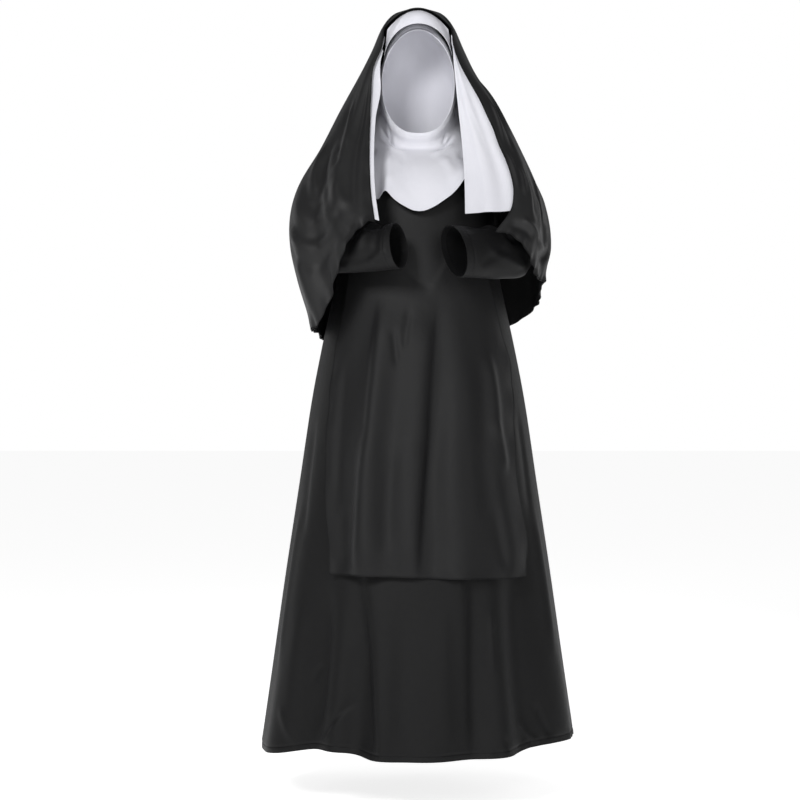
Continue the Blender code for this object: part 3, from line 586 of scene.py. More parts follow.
def robe_ring(angle, height, front):
    turn = np.radians(angle)
    wide = column(ROBE_RINGS, "height", "half_width", height)
    deep = column(ROBE_RINGS, "height", "front" if front else "back", height)
    return wide * np.sin(turn), -deep * np.cos(turn)


def bodice_end(u, front):
    """Top edge of a robe panel: u 0 neck middle, 1/3 neck side, 2/3 shoulder tip, 1 armpit."""
    side = np.where(u >= 0, 1.0, -1.0)
    u = np.abs(u)
    face = -1.0 if front else 1.0
    turn = math.pi * (1 - u) * 3
    armhole = (side * ARMHOLE_X, face * ARMHOLE_HALF_DEPTH * np.sin(turn),
               ARMHOLE_MID - ARMHOLE_HALF_HEIGHT * np.cos(turn))
    t = (u - 1 / 3) * 3
    shoulder = (side * lerp(NECK_X, ARMHOLE_X, t), 0 * u, lerp(NECK_HEIGHT, SHOULDER_HEIGHT, t))
    turn = math.pi / 2 * u * 3
    deep = NECK_FRONT_Y if front else NECK_FRONT_Y - 0.010
    low = NECK_FRONT_HEIGHT if front else NECK_HEIGHT - 0.008
    neck = (side * NECK_X * np.sin(turn), face * deep * np.cos(turn), lerp(low, NECK_HEIGHT, np.sin(turn) ** 2))
    return [np.where(u > 2 / 3, a, np.where(u > 1 / 3, s, n)) for a, s, n in zip(armhole, shoulder, neck)]


def bodice_point(u, t, front):
    """Robe surface above the bodice line: u across as in bodice_end, t from that line to the top edge."""
    angle = np.sign(u) * 90 * np.abs(u) ** BODICE_SPREAD
    x, y = robe_ring(angle if front else 180 - angle, BODICE, front)
    end_x, end_y, end_h = bodice_end(u, front)
    turn = math.pi / 2 * t
    across = np.where(np.abs(end_x) > np.abs(x), soft(t), np.sin(turn))
    return vector(lerp(x, end_x, across), end_y + (y - end_y) * np.cos(turn),
                  BODICE + (end_h - BODICE) * np.sin(turn))


def bodice_lifted(u, t, front, lift):
    """The same surface moved out along its own normal."""
    step = 0.02
    across = bodice_point(u + step, t, front) - bodice_point(u - step, t, front)
    upward = bodice_point(u, t, front) - bodice_point(u, t - step, front)
    normal = np.cross(across, upward) * (1 if front else -1)
    flat = (t > 0.999) & (np.abs(u) > 1 / 3)
    normal[..., 1] = np.where(flat, 0.0, normal[..., 1])
    return bodice_point(u, t, front) + unit(normal) * lift[..., None]


def robe_grid(front, cols, skirt_rows, top_rows):
    """Robe panel from hem to top edge, with its folds and creases, and the wall at each point."""
    u = np.linspace(-1, 1, cols)
    u = u if front else -u
    share = spaced(0, 1, skirt_rows, fine_low=0.9)
    top = np.linspace(0, 1, top_rows + 1)[1:]
    u, share = np.meshgrid(u, np.concatenate((share, 1 + top)))
    around = 90 * u if front else 180 - 90 * u
    hem = column(ROBE_HEM_LINE, "angle", "height", around)
    height = lerp(hem, BODICE, np.minimum(share, 1.0))
    spread = lerp(1.0, BODICE_SPREAD, soft((height - 0.85) / (BODICE - 0.85)))
    angle = np.sign(u) * 90 * np.abs(u) ** spread
    angle = angle if front else 180 - angle
    x, y = robe_ring(angle, height, front)
    out = 0.0
    for at, width, depth, start in ROBE_FOLDS:
        fall = soft((start - height) / (start - ROBE_HEM))
        gap = (angle - at + 180) % 360 - 180
        out = out + depth * fall * bump(gap, width)
    length = np.hypot(x, y)
    skirt = vector(x * (1 + out / length), y * (1 + out / length), height)
    bodice = bodice_point(u, np.maximum(share - 1, 0), front)
    points = np.where((share > 1)[..., None], bodice, skirt)
    part = -1.0 if front else 1.0
    seam = np.abs(points[..., 1]) < 1e-4
    points[..., 1] = np.where(seam, part * SEAM_GAP / 2, points[..., 1])

    wide = column(ROBE_RINGS, "height", "half_width", height)
    a = np.radians(angle if front else 180 - angle) * wide * (1 if front else -1)
    skirted = soft((1.16 - height) / 0.12)
    relief = creases(a, height, ROBE_FRONT_CREASES if front else ROBE_BACK_CREASES)
    relief = relief + 0.0016 * ripple(a, height * 0.5, 0.42) * soft((1.10 - height) / 0.3)
    relief = relief * skirted
    rise = height - hem
    relief = relief + 0.0009 * np.sin(a / 0.031 + 2.0 * np.sin(a / 0.09)) * bump(rise, 0.030) * (share <= 1)
    relief = relief - 0.0008 * bump(rise - HEM_TURN, 0.0022) * (share <= 1)
    pucker = np.sin(a / 0.0075 + 1.8 * np.sin(a / 0.023)) * bump(rise - 0.008, 0.012) * soft((a - 0.10) / 0.08)
    relief = relief + (0.0015 * pucker if front else 0.0) * (share <= 1)
    at_seam = soft((1 - np.abs(u)) / 0.012)
    relief = (relief - 0.0012 * bump((1 - np.abs(u)) * 0.5, 0.006) * skirted) * at_seam
    points = relieved(points, relief)
    wall = CLOTH * (1 + soft((HEM_TURN - rise) / 0.002) * (share <= 1))
    return points, wall


# ------------------------------------------------------------------ sleeves
# creases of a sleeve: turn distance round from the front middle and distance from the cuff,
# for both ends, then width, depth, bow and lean
SLEEVE_RIGHT_CREASES = (
    (0.08, 0.15, -0.02, 0.13, 0.009, -0.005, 0.005, 0.2),
    (-0.03, 0.14, -0.09, 0.18, 0.009, -0.0046, 0.003, 0.0),
    (0.08, 0.12, -0.02, 0.11, 0.009, 0.0042, 0.005, 0.0),
    (-0.05, 0.03, -0.02, 0.11, 0.01, -0.0045, 0.006, 0.2),
    (-0.01, 0.05, -0.06, 0.15, 0.01, 0.004, -0.006, 0.0),
    (0.03, 0.02, 0.05, 0.12, 0.011, -0.004, 0.006, 0.0),
    (0.0, 0.13, 0.05, 0.21, 0.012, -0.005, 0.008, 0.2),
    (-0.05, 0.15, 0.0, 0.23, 0.012, 0.005, 0.006, 0.0),
    (0.06, 0.09, 0.02, 0.17, 0.009, 0.0035, 0.004, 0.0),
    (0.1, 0.06, 0.09, 0.2, 0.014, -0.0045, 0.01, 0.0),
    (0.14, 0.1, 0.15, 0.24, 0.014, 0.0045, 0.006, 0.0),
    (-0.09, 0.05, -0.1, 0.19, 0.013, 0.0045, 0.006, 0.0),
    (-0.15, 0.08, -0.13, 0.23, 0.013, -0.0045, 0.006, 0.0),
)
SLEEVE_LEFT_CREASES = (
    (-0.04, 0.07, 0.09, 0.08, 0.009, 0.0048, 0.005, 0.2),
    (-0.05, 0.09, 0.08, 0.11, 0.01, -0.005, 0.004, 0.0),
    (-0.05, 0.05, -0.02, 0.01, 0.008, 0.0038, 0.002, 0.0),
    (-0.03, 0.03, 0.09, 0.05, 0.009, -0.004, 0.003, 0.0),
    (0.045, 0.025, 0.015, 0.1, 0.01, -0.0045, -0.006, 0.2),
    (0.0, 0.06, 0.06, 0.14, 0.011, 0.0045, 0.006, 0.0),
    (-0.03, 0.03, -0.055, 0.13, 0.01, -0.004, -0.006, 0.0),
    (0.01, 0.14, -0.04, 0.22, 0.013, -0.0055, -0.008, 0.2),
    (0.055, 0.16, 0.0, 0.24, 0.012, 0.005, -0.006, 0.0),
    (-0.065, 0.08, -0.025, 0.18, 0.01, 0.004, -0.004, 0.0),
    (-0.105, 0.05, -0.095, 0.21, 0.014, -0.0045, -0.01, 0.0),
    (0.095, 0.06, 0.1, 0.2, 0.013, 0.0045, -0.006, 0.0),
    (0.15, 0.09, 0.13, 0.22, 0.013, -0.0045, -0.006, 0.0),
    (-0.145, 0.09, -0.15, 0.24, 0.014, 0.004, -0.006, 0.0),
)


def sleeve_grid(table, crease_rows, around, rows, side):
    t = spaced(0, 1, rows, fine_high=0.8)
    ring = {name: along(table, name, t) for name in table}
    ins = vector(ring["in_x"], ring["in_y"], ring["in_height"])
    outs = vector(ring["out_x"], ring["out_y"], ring["out_height"])
    half = ring["half"]
    middle = (ins + outs) / 2
    axis = np.gradient(middle, axis=0)
    axis[0] = (axis[0][0], 0, 0)
    reach = (outs - ins) / 2
    across = unit(np.cross(axis, reach)) * half[:, None]
    turn = np.linspace(0, 2 * math.pi, around, endpoint=False)
    cos = np.cos(turn)[None, :, None]
    sin = np.sin(turn)[None, :, None]
    points = middle[:, None] + across[:, None] * cos - reach[:, None] * sin

    run = lengths(middle[:, None], 0)[:, 0]
    from_cuff = (run[-1] - run)[:, None] * np.ones(around)
    size = (np.linalg.norm(reach, axis=1) + half)[:, None] / 2
    facing = (turn if side > 0 else math.pi - turn)[None, :]
    facing = (facing + math.pi) % (2 * math.pi) - math.pi
    a = facing * size
    relief = creases(a, from_cuff, crease_rows)
    relief = relief + 0.0014 * ripple(a, from_cuff, 0.24)
    relief = relief * soft(run[:, None] / 0.05) * soft((from_cuff + 0.02) / 0.05)
    relief = relief - 0.0006 * bump(from_cuff - CUFF_TURN, 0.0020)
    relief = relief + 0.0010 * np.sin(a / 0.017 + side) * bump(from_cuff, 0.02)
    points = relieved(points, relief, wrap=True)
    wall = CLOTH * (1 + soft((CUFF_TURN - from_cuff) / 0.002))
    return points, wall


# ------------------------------------------------------------------ scapular
# creases of the scapular front: side distance and height of both ends, width, depth, bow, lean
SCAPULAR_FRONT_CREASES = (
    (-0.071, 1.07, -0.101, 0.745, 0.026, 0.0085, 0.002, -0.78),
    (-0.099, 0.8, -0.124, 0.47, 0.032, 0.012, 0.002, -0.82),
    (-0.054, 1.01, -0.046, 0.925, 0.008, -0.0035, 0.0, 0.0),
    (-0.018, 1.06, -0.03, 0.96, 0.008, -0.0028, 0.002, 0.0),
    (0.046, 1.07, 0.024, 0.745, 0.012, -0.0022, 0.003, -0.5),
    (0.026, 0.8, 0.005, 0.48, 0.013, -0.0022, 0.002, -0.5),
    (0.018, 1.04, -0.002, 0.76, 0.026, 0.0075, 0.003, 0.66),
    (0.002, 0.82, -0.024, 0.465, 0.03, 0.011, 0.002, 0.72),
    (0.146, 0.96, 0.166, 0.77, 0.012, 0.0055, -0.006, 0.3),
    (0.16, 0.82, 0.182, 0.7, 0.01, 0.005, -0.004, 0.3),
    (0.11, 0.96, 0.128, 0.54, 0.018, 0.003, 0.006, 0.0),
    (-0.15, 0.96, -0.17, 0.64, 0.013, -0.0035, 0.006, 0.0),
    (-0.155, 0.64, -0.15, 0.5, 0.012, -0.003, 0.004, 0.0),
    (-0.05, 0.76, -0.066, 0.52, 0.018, -0.003, 0.006, 0.0),
    (0.16, 0.64, 0.19, 0.49, 0.012, -0.0035, 0.004, 0.0),
    (-0.06, 1.18, 0.03, 1.09, 0.01, -0.0025, 0.008, 0.0),
    (0.08, 1.19, 0.02, 1.08, 0.01, 0.0025, -0.006, 0.0),
)
SCAPULAR_BACK_CREASES = (
    (-0.1, 1.06, -0.13, 0.56, 0.015, 0.004, 0.006, 0.2),
    (0.01, 1.04, -0.01, 0.52, 0.018, -0.004, 0.004, 0.0),
    (0.11, 1.08, 0.15, 0.54, 0.014, 0.004, -0.006, 0.0),
    (0.06, 0.86, 0.08, 0.56, 0.012, -0.003, 0.004, 0.0),
    (-0.06, 0.8, -0.07, 0.53, 0.013, -0.003, 0.004, 0.0),
)


def scapular_grid(front, hem, cols, skirt_rows, top_rows, folds, crease_rows):
    """Loose panel from the hem to the shoulder, made from the robe's surface moved out."""
    face = -1.0 if front else 1.0
    s = np.linspace(-1, 1, cols)
    s = s if front else -s
    share = spaced(0, 1, skirt_rows, fine_low=0.8)
    top = np.linspace(0, 1, top_rows + 1)[1:]
    s, share = np.meshgrid(s, np.concatenate((share, 1 + top)))
    t = np.maximum(0.0, share - 1)
    low = hem - SCAPULAR_HEM_DROP * soft((s + 1) / 2)
    height = lerp(low, BODICE, np.minimum(share, 1.0))
    left = column(SCAPULAR_EDGES, "height", "left", height)
    right = column(SCAPULAR_EDGES, "height", "right", height)
    middle = (left + right) / 2
    x = np.where(s > 0, lerp(middle, right, s), lerp(middle, left, -s))
    wide = column(ROBE_RINGS, "height", "half_width", height)
    deep = column(ROBE_RINGS, "height", "front" if front else "back", height)
    out = SCAPULAR_LIFT * (1 - 0.6 * t) + 0.004 * (1 - t)
    for start, at_top, at_hem, width_top, width_hem, depth in folds:
        down = (start - height) / (start - hem)
        here = np.clip(down, 0, 1)
        aside = s - lerp(at_top, at_hem, here)
        out = out + depth * soft(down * 1.5) * bump(aside, lerp(width_top, width_hem, here))
    flat = np.sqrt(np.maximum(0.05, 1 - (x / (wide + 0.01)) ** 2))
    points = vector(x, face * (deep * flat + out), height)
    u = (np.arcsin(np.clip(np.abs(x) / wide, 0, 1)) / (math.pi / 2)) ** (1 / BODICE_SPREAD)
    u = lerp(np.sign(x) * u, s * SCAPULAR_TOP_SHARE, t)
    upper = bodice_lifted(u, t, front, out)
    points = np.where((t > 0)[..., None], upper, points)
    seam = np.abs(points[..., 1]) < 1e-4
    points[..., 1] = np.where(seam, face * SEAM_GAP / 2, points[..., 1])

    loose = soft((1.32 - (points[..., 2] + SHOULDER_HEIGHT)) / 0.14) * (1 - t)
    relief = creases(x, height, crease_rows) * loose
    relief = relief + 0.0016 * ripple(x, height * 0.6, 0.36) * loose
    edge = (1 - np.abs(s)) * 0.2
    rise = height - low
    side_wave = np.sin(height / 0.019 + 1.5 * np.sin(height / 0.07) + s) * bump(edge, 0.010) * loose
    hem_wave = np.sin(x / 0.016 + 1.5 * np.sin(x / 0.05)) * bump(rise, 0.012) * (share <= 1)
    relief = relief + 0.0014 * side_wave + 0.0013 * hem_wave
    points = relieved(points, relief)
    return points, CLOTH


# ------------------------------------------------------------------ wimple
# creases of the wimple: distance round from the front middle and down from the face edge
WIMPLE_CREASES = (
    (-0.1, 0.06, -0.07, 0.145, 0.007, -0.0035, 0.004, 0.2),
    (-0.12, 0.12, -0.03, 0.165, 0.009, -0.005, 0.008, 0.2),
    (-0.115, 0.15, -0.02, 0.185, 0.009, 0.0035, 0.008, 0.0),
    (0.085, 0.09, 0.06, 0.14, 0.007, -0.003, -0.004, 0.0),
    (0.1, 0.13, 0.04, 0.175, 0.009, -0.0045, -0.008, 0.2),
    (0.09, 0.165, 0.02, 0.2, 0.01, 0.004, -0.008, 0.0),
    (-0.06, 0.2, -0.045, 0.3, 0.01, 0.0035, 0.002, 0.0),
    (-0.025, 0.19, -0.015, 0.3, 0.01, -0.003, 0.002, 0.0),
    (0.045, 0.2, 0.06, 0.31, 0.011, 0.0035, 0.002, 0.0),
    (0.085, 0.21, 0.11, 0.3, 0.01, -0.0035, 0.002, 0.0),
    (-0.1, 0.2, -0.12, 0.3, 0.01, -0.0035, 0.002, 0.0),
)


def wimple_grid(around, rows):
    t = spaced(0, 1, rows, fine_low=0.6, fine_high=0.3)[:, None]
    turn = np.linspace(0, 2 * math.pi, around, endpoint=False)[None, :]
    ring = {name: along(WIMPLE_RINGS, name, t) for name in WIMPLE_RINGS}
    full = lerp(np.where(np.cos(turn) > 0, 0.78, 1.0), 0.80, t)
    forward = np.sign(np.cos(turn)) * np.abs(np.cos(turn)) ** full
    aside = np.sign(np.sin(turn)) * np.abs(np.sin(turn)) ** full
    front = (1 + forward) / 2
    middle_y = lerp(ring["back_y"], ring["front_y"], front)
    middle_h = lerp(ring["back_height"], ring["front_height"], front)
    swell = np.sin(turn) ** 2
    y = middle_y + (ring["side_y"] - (ring["front_y"] + ring["back_y"]) / 2) * swell
    height = middle_h + (ring["side_height"] - (ring["front_height"] + ring["back_height"]) / 2) * swell
    narrow = 1 - 0.10 * (1 - t) * np.cos(turn) ** 2
    points = vector(-ring["side_x"] * aside * narrow, y, height)

    facing = -((turn + math.pi) % (2 * math.pi) - math.pi)
    a = facing * 0.105
    b = t * 0.32 + 0 * turn
    relief = creases(a, b, WIMPLE_CREASES) + 0.0012 * ripple(a, b, 0.16) * soft(t / 0.2)
    relief = relief - 0.0006 * bump(b - 0.010, 0.0020)
    points = relieved(points, relief, wrap=True)
    points[..., 2] += column(WIMPLE_HEM, "angle", "rise", np.degrees(facing)) * soft((t - 0.72) / 0.28)
    wall = CLOTH_WHITE * (1 + 0.8 * soft((0.010 - b) / 0.002))
    return points, wall


# ------------------------------------------------------------------ veil and linings
# creases of the veil: distance round from the front edge and down from the crown
VEIL_LEFT_CREASES = (
    # the turned front edge
    (0.01, 0.33, 0.009, 0.7, 0.005, 0.0016, 0.0, 0.0),
    (0.02, 0.33, 0.019, 0.7, 0.005, -0.0022, 0.0, 0.0),
    # beside the cheek, slanting down to the front edge
    (0.08, 0.36, 0.04, 0.48, 0.008, 0.0034, 0.002, 0.3),
    (0.1, 0.36, 0.06, 0.49, 0.009, -0.0032, 0.003, 0.0),
    (0.07, 0.46, 0.05, 0.52, 0.008, -0.004, 0.0, 0.0),
    # long ones off the shoulder
    (0.14, 0.43, 0.09, 0.56, 0.009, 0.005, 0.003, 0.3),
    (0.11, 0.45, 0.06, 0.6, 0.01, -0.005, -0.002, 0.3),
    (0.08, 0.53, 0.06, 0.64, 0.008, 0.0036, 0.002, 0.0),
    (0.05, 0.55, 0.03, 0.65, 0.009, 0.003, 0.002, 0.2),
    (0.05, 0.62, 0.03, 0.73, 0.01, -0.006, 0.001, 0.0),
    # a fan from the side, closing towards the lower front corner
    (0.14, 0.51, 0.08, 0.59, 0.008, -0.0042, 0.002, 0.0),
    (0.16, 0.53, 0.07, 0.62, 0.008, 0.0038, 0.003, 0.0),
    (0.18, 0.55, 0.06, 0.65, 0.007, -0.004, 0.003, 0.0),
    (0.2, 0.56, 0.06, 0.67, 0.008, 0.0036, -0.002, 0.0),
    (0.22, 0.58, 0.05, 0.69, 0.009, -0.0048, 0.003, 0.2),
    # short ones above the hem
    (0.16, 0.61, 0.13, 0.71, 0.014, 0.0032, 0.003, 0.0),
    (0.11, 0.65, 0.09, 0.72, 0.01, -0.0032, 0.002, 0.0),
    # towards the back
    (0.3, 0.26, 0.33, 0.6, 0.018, -0.005, 0.008, 0.0),
    (0.38, 0.22, 0.4, 0.64, 0.018, 0.005, -0.006, 0.0),
    (0.45, 0.26, 0.46, 0.66, 0.016, -0.005, 0.006, 0.0),
)
VEIL_RIGHT_CREASES = (
    # beside the cheek, slanting down to the front edge
    (0.07, 0.35, 0.02, 0.48, 0.007, 0.004, 0.003, 0.3),
    (0.1, 0.35, 0.04, 0.5, 0.01, -0.0042, 0.002, 0.0),
    (0.13, 0.3, 0.1, 0.44, 0.012, 0.0038, 0.003, 0.0),
    # upright ones over the shoulder, unevenly spaced
    (0.02, 0.5, 0.01, 0.61, 0.007, 0.0028, 0.001, 0.0),
    (0.04, 0.53, 0.03, 0.61, 0.008, 0.0032, 0.001, 0.0),
    (0.07, 0.51, 0.06, 0.64, 0.01, -0.0048, 0.002, 0.2),
    (0.1, 0.55, 0.08, 0.65, 0.01, 0.0044, 0.002, 0.0),
    (0.12, 0.5, 0.12, 0.62, 0.01, -0.0042, 0.003, 0.0),
    (0.16, 0.48, 0.15, 0.59, 0.012, 0.0046, -0.002, 0.0),
    # crinkles lying along the lower edge
    (0.01, 0.7, 0.07, 0.68, 0.012, -0.0058, 0.002, 0.0),
    (0.03, 0.67, 0.09, 0.66, 0.007, 0.0042, 0.002, 0.0),
    (0.08, 0.67, 0.17, 0.63, 0.008, 0.0044, 0.003, 0.0),
    (0.1, 0.69, 0.18, 0.65, 0.009, -0.0048, 0.003, 0.0),
    # towards the back
    (0.21, 0.48, 0.18, 0.68, 0.012, 0.005, 0.006, 0.0),
    (0.3, 0.28, 0.32, 0.62, 0.018, 0.005, 0.006, 0.0),
    (0.36, 0.24, 0.39, 0.64, 0.018, -0.005, -0.006, 0.0),
    (0.43, 0.28, 0.44, 0.64, 0.016, 0.005, 0.006, 0.0),
)


def veil_point(side, t, s):
    """Veil surface: t from crown to hem, s from the front edge (0) to the back centre (1)."""
    table = VEIL_LEFT if side < 0 else VEIL_RIGHT
    t, s = np.broadcast_arrays(np.asarray(t, float), np.asarray(s, float))
    edge_x, edge_y, edge_h, side_x, side_y, side_h = [along(table, name, t) for name in table]
    back_y = along(VEIL_BACK, "back_y", t)
    back_h = along(VEIL_BACK, "back_height", t)
    turn = math.pi / 2 * np.clip(s / VEIL_SPLIT, 0, 1)
    full = lerp(1.0, 0.72, soft((t - 0.5) * 2))
    ahead = (edge_x + (side_x - edge_x) * np.sin(turn) ** full,
             side_y + (edge_y - side_y) * np.abs(np.cos(turn)) ** full,
             lerp(edge_h, side_h, lerp(s / VEIL_SPLIT, soft(s / VEIL_SPLIT / 0.67), soft((t - 0.5) * 2))))
    rest = np.clip((s - VEIL_SPLIT) / (1 - VEIL_SPLIT), 0, 1)
    turn = math.pi / 2 * rest
    behind = (side_x * np.cos(turn), side_y + (back_y - side_y) * np.sin(turn),
              lerp(side_h, back_h, lerp(soft(rest), np.sin(turn), soft((t - 0.5) * 2))))
    x, y, height = [np.where(s < VEIL_SPLIT, a, b) for a, b in zip(ahead, behind)]
    out = 0.0
    for start, at_top, at_hem, width, depth in VEIL_FOLDS_LEFT if side < 0 else VEIL_FOLDS_RIGHT:
        fall = soft((t - start) / (1 - start) * 1.3)
        out = out + depth * fall * bump(s - lerp(at_top, at_hem, t), width)
    away = unit(np.stack((x, y * 1.6, 0 * x), axis=-1))
    return vector(x, y, height) + away * (out + 0 * x)[..., None]


def veil_relief(side, t, s):
    """Creases, ripples and the crinkled hem of one half of the veil."""
    a = s * 0.50 + 0 * t
    b = t * 0.72 + 0 * s
    seed = 0.0 if side < 0 else 1.7
    relief = creases(a, b, VEIL_LEFT_CREASES if side < 0 else VEIL_RIGHT_CREASES)
    relief = relief + 0.0016 * ripple(a + seed, b, 0.30) * soft((t - 0.2) / 0.3)
    near_hem = bump((1 - t) * 0.70, 0.016)
    wave = np.sin(a / 0.0052 + 2.2 * np.sin(a / 0.019 + seed)) + 0.6 * np.sin(a / 0.0031 + 3 * seed)
    edge = bump(a, 0.006) * soft((t - 0.3) / 0.3)
    return relief + 0.0030 * near_hem * wave + 0.0008 * edge * np.sin(b / 0.012 + seed)


def forehead_edge(t, q):
    """Front of the veil over the forehead: q runs from its right end (0) to its left end (1)."""
    t, q = np.broadcast_arrays(np.asarray(t, float), np.asarray(q, float))
    right = veil_point(1, t, 0 * q)
    left = veil_point(-1, t, 0 * q)
    rise = 4 * q * (1 - q) * np.minimum(t / VEIL_CLOSED, 1.0) ** 2
    lift = np.stack((0 * rise, -0.008 * rise, 0.040 * rise), axis=-1)
    return lerp(right, left, q[..., None]) + lift


def veil_grid(side_cols, front_cols, rows, crown_rows):
    """Whole veil: rows from the crown to the hem, round from the left front edge by the back."""
    closed = 0.30
    t = np.concatenate((np.linspace(0, VEIL_CLOSED, round(rows * closed), endpoint=False),
                        spaced(VEIL_CLOSED, 1, rows - round(rows * closed), fine_high=0.9)))
    s = np.linspace(0, 1, side_cols + 1) ** 1.3
    q = np.linspace(0, 1, front_cols + 1)[1:-1]
    left = veil_point(-1, t[:, None], s[None, :-1])
    right = veil_point(1, t[:, None], s[None, ::-1])
    front = forehead_edge(t[:, None], q[None, :])
    points = np.concatenate((left, right, front), axis=1)

    reliefs = (veil_relief(-1, t[:, None], s[None, :-1]), veil_relief(1, t[:, None], s[None, ::-1]),
               np.zeros((len(t), len(q))))
    points = relieved(points, np.concatenate(reliefs, axis=1), wrap=True)
    droop = 0.0022 * bump((1 - t[:, None]) * 0.70, 0.010) * np.sin(np.arange(points.shape[1]) / 3.2)
    points[..., 2] += droop

    crown = vector(0.0, 0.006, VEIL_CROWN_HEIGHT)
    share = (np.arange(1, crown_rows) / crown_rows)[:, None, None]
    disc = lerp(crown, points[:1], share)
    rounded = (1 - share[..., 0] ** 2) * 0.001
    disc[..., 2] += rounded - 0.001 * (1 - share[..., 0])
    points = np.concatenate((disc, points), axis=0)
    keep = np.ones((points.shape[0] - 1, points.shape[1]), bool)
    open_from = crown_rows - 1 + round(rows * closed)
    keep[open_from:, 2 * side_cols:] = False
    return points, keep, crown, open_from


def lining_right_grid(rows, cols):
    t = np.linspace(LINING_RIGHT_END, 0.24, rows)[:, None]
    q = np.linspace(0, 1, cols)[None, :]
    edge = veil_point(1, t, 0.03) + np.array((0.0, 0.0045, 0.0))
    inner_x = lerp(0.074, 0.098, soft((t - 0.24) / 0.60))
    x = lerp(np.minimum(inner_x, edge[..., 0] - 0.004), edge[..., 0], q)
    dip = 0.010 * bump(q - 0.45, 0.22) * soft(t)
    lean = lerp(0.010, 0.0, q) * soft(t)
    height = edge[..., 2] - 0.006 * (1 - q) * t
    points = np.stack((x, edge[..., 1] + lean - dip + 0.004, height), axis=-1)
    relief = creases(q * 0.09, t * 0.6, (
        (0.020, 0.230, 0.034, 0.580, 0.008, 0.0022, 0.004, 0.2),
        (0.052, 0.260, 0.060, 0.560, 0.010, -0.0022, 0.002, 0.0),
        (0.034, 0.320, 0.048, 0.420, 0.006, -0.0014, 0.002, 0.0),
        (0.070, 0.380, 0.076, 0.590, 0.007, 0.0016, 0.000, 0.0),
    ))
    relief = relief + 0.0005 * np.sin(t / 0.014) * bump(q * 0.09, 0.006)
    return relieved(points, relief)


def lining_left_grid(rows, cols):
    t = np.linspace(1.0, 0.33, rows)[:, None]
    q = np.linspace(0, 1, cols)[None, :]
    width = LINING_WIDTH * lerp(0.55, 1.0, soft((t - 0.33) / 0.5))
    reach = np.minimum(width * q * 2.2, 0.40)
    level = t * (1 - 0.22 * q)
    points = veil_point(-1, level, reach)
    ahead = veil_point(-1, level, reach + 0.02)
    tangent = unit(np.stack((ahead[..., 0] - points[..., 0], ahead[..., 1] - points[..., 1],
                             0 * points[..., 0]), axis=-1))
    inward = np.stack((-tangent[..., 1], tangent[..., 0], 0 * tangent[..., 0]), axis=-1)
    inward = np.where(inward[..., 1:2] < 0, -inward, inward)
    dent = np.maximum(-veil_relief(-1, level, reach), 0)
    depth = lerp(LINING_GAP, LINING_DEPTH, soft(q * 4))
    points = points + inward * (depth + dent)[..., None]
    points[..., 0] += column(LINING_PEEK, "down", "peek", t) * (1 - soft(q * 4))
    points[..., 2] += 0.004
    relief = 0.0004 * np.sin(t / 0.013) * bump(q * 0.1, 0.006)
    return relieved(points[:, ::-1], (relief + 0 * q)[:, ::-1])


def band_grid(rows, cols):
    ends = math.radians(78)
    t = np.linspace(0, 1, rows)[:, None]
    s = np.linspace(-1, 1, cols)[None, :]
    turn = s * ends
    arch = (1 - np.cos(turn)) / (1 - math.cos(ends))
    x = BAND_HALF * np.sin(turn) / math.sin(ends)
    low = vector(x, -0.042 - 0.060 * np.cos(turn), lerp(BAND_ARCH, BAND_END_LOW, arch))
    edge = forehead_edge(VEIL_CLOSED, (1 - s) / 2)
    high = np.stack((edge[..., 0] * 0.93, edge[..., 1] + 0.004, edge[..., 2] - BAND_TUCK), axis=-1)
    points = lerp(low, high, t[..., None])
    full = np.sin(math.pi * t) * np.cos(turn)
    points[..., 1] -= 0.006 * full
    points[..., 2] += 0.008 * full
    relief = creases(s * 0.075 + 0 * t, t * 0.04 + 0 * s, (
        (-0.050, 0.004, -0.020, 0.036, 0.005, 0.0010, 0.002, 0.0),
        (0.030, 0.004, 0.052, 0.034, 0.005, -0.0010, 0.002, 0.0),
        (-0.006, 0.006, 0.010, 0.036, 0.006, 0.0008, 0.002, 0.0),
    ))
    return relieved(points, relief)


# ------------------------------------------------------------------ build
BLACK = cloth_material("robe_black", (0.0070, 0.0070, 0.0073), (0.0050, 0.0050, 0.0053), 0.56, 0.165, 0.012,
                       0.0006, 0.00010, 6.0)
SLEEVE_BLACK = cloth_material("sleeve_black", (0.0070, 0.0070, 0.0073), (0.0050, 0.0050, 0.0053), 0.56, 0.17,
                              0.012, 0.0006, 0.00010, 7.0)
SCAPULAR_BLACK = cloth_material("scapular_black", (0.0092, 0.0092, 0.0096), (0.0068, 0.0068, 0.0072), 0.54,
                                0.20, 0.016, 0.0006, 0.00010, 5.0)
VEIL_BLACK = cloth_material("veil_black", (0.0112, 0.0112, 0.0116), (0.0084, 0.0084, 0.0088), 0.52, 0.27, 0.022,
                            0.0005, 0.00008, 8.0)
WHITE = cloth_material("wimple_white", (0.715, 0.715, 0.762), (0.670, 0.670, 0.722), 0.70, 0.25, 0.0, 0.0006,
                       0.00012, 9.0)
LINING_WHITE = cloth_material("lining_white", (0.700, 0.700, 0.745), (0.655, 0.655, 0.705), 0.68, 0.25, 0.0,
                              0.0006, 0.00012, 9.0)
BLACK_THREAD = thread_material("black_thread", (0.0030, 0.0030, 0.0033), 0.75, 0.10, 0.0)
WHITE_THREAD = thread_material("white_thread", (0.70, 0.70, 0.75), 0.55, 0.30, 0.1)


def finish_piece(obj, slot=None, *replaced):
    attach(obj, "root")
    if replaced:
        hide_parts(*replaced)
    return obj


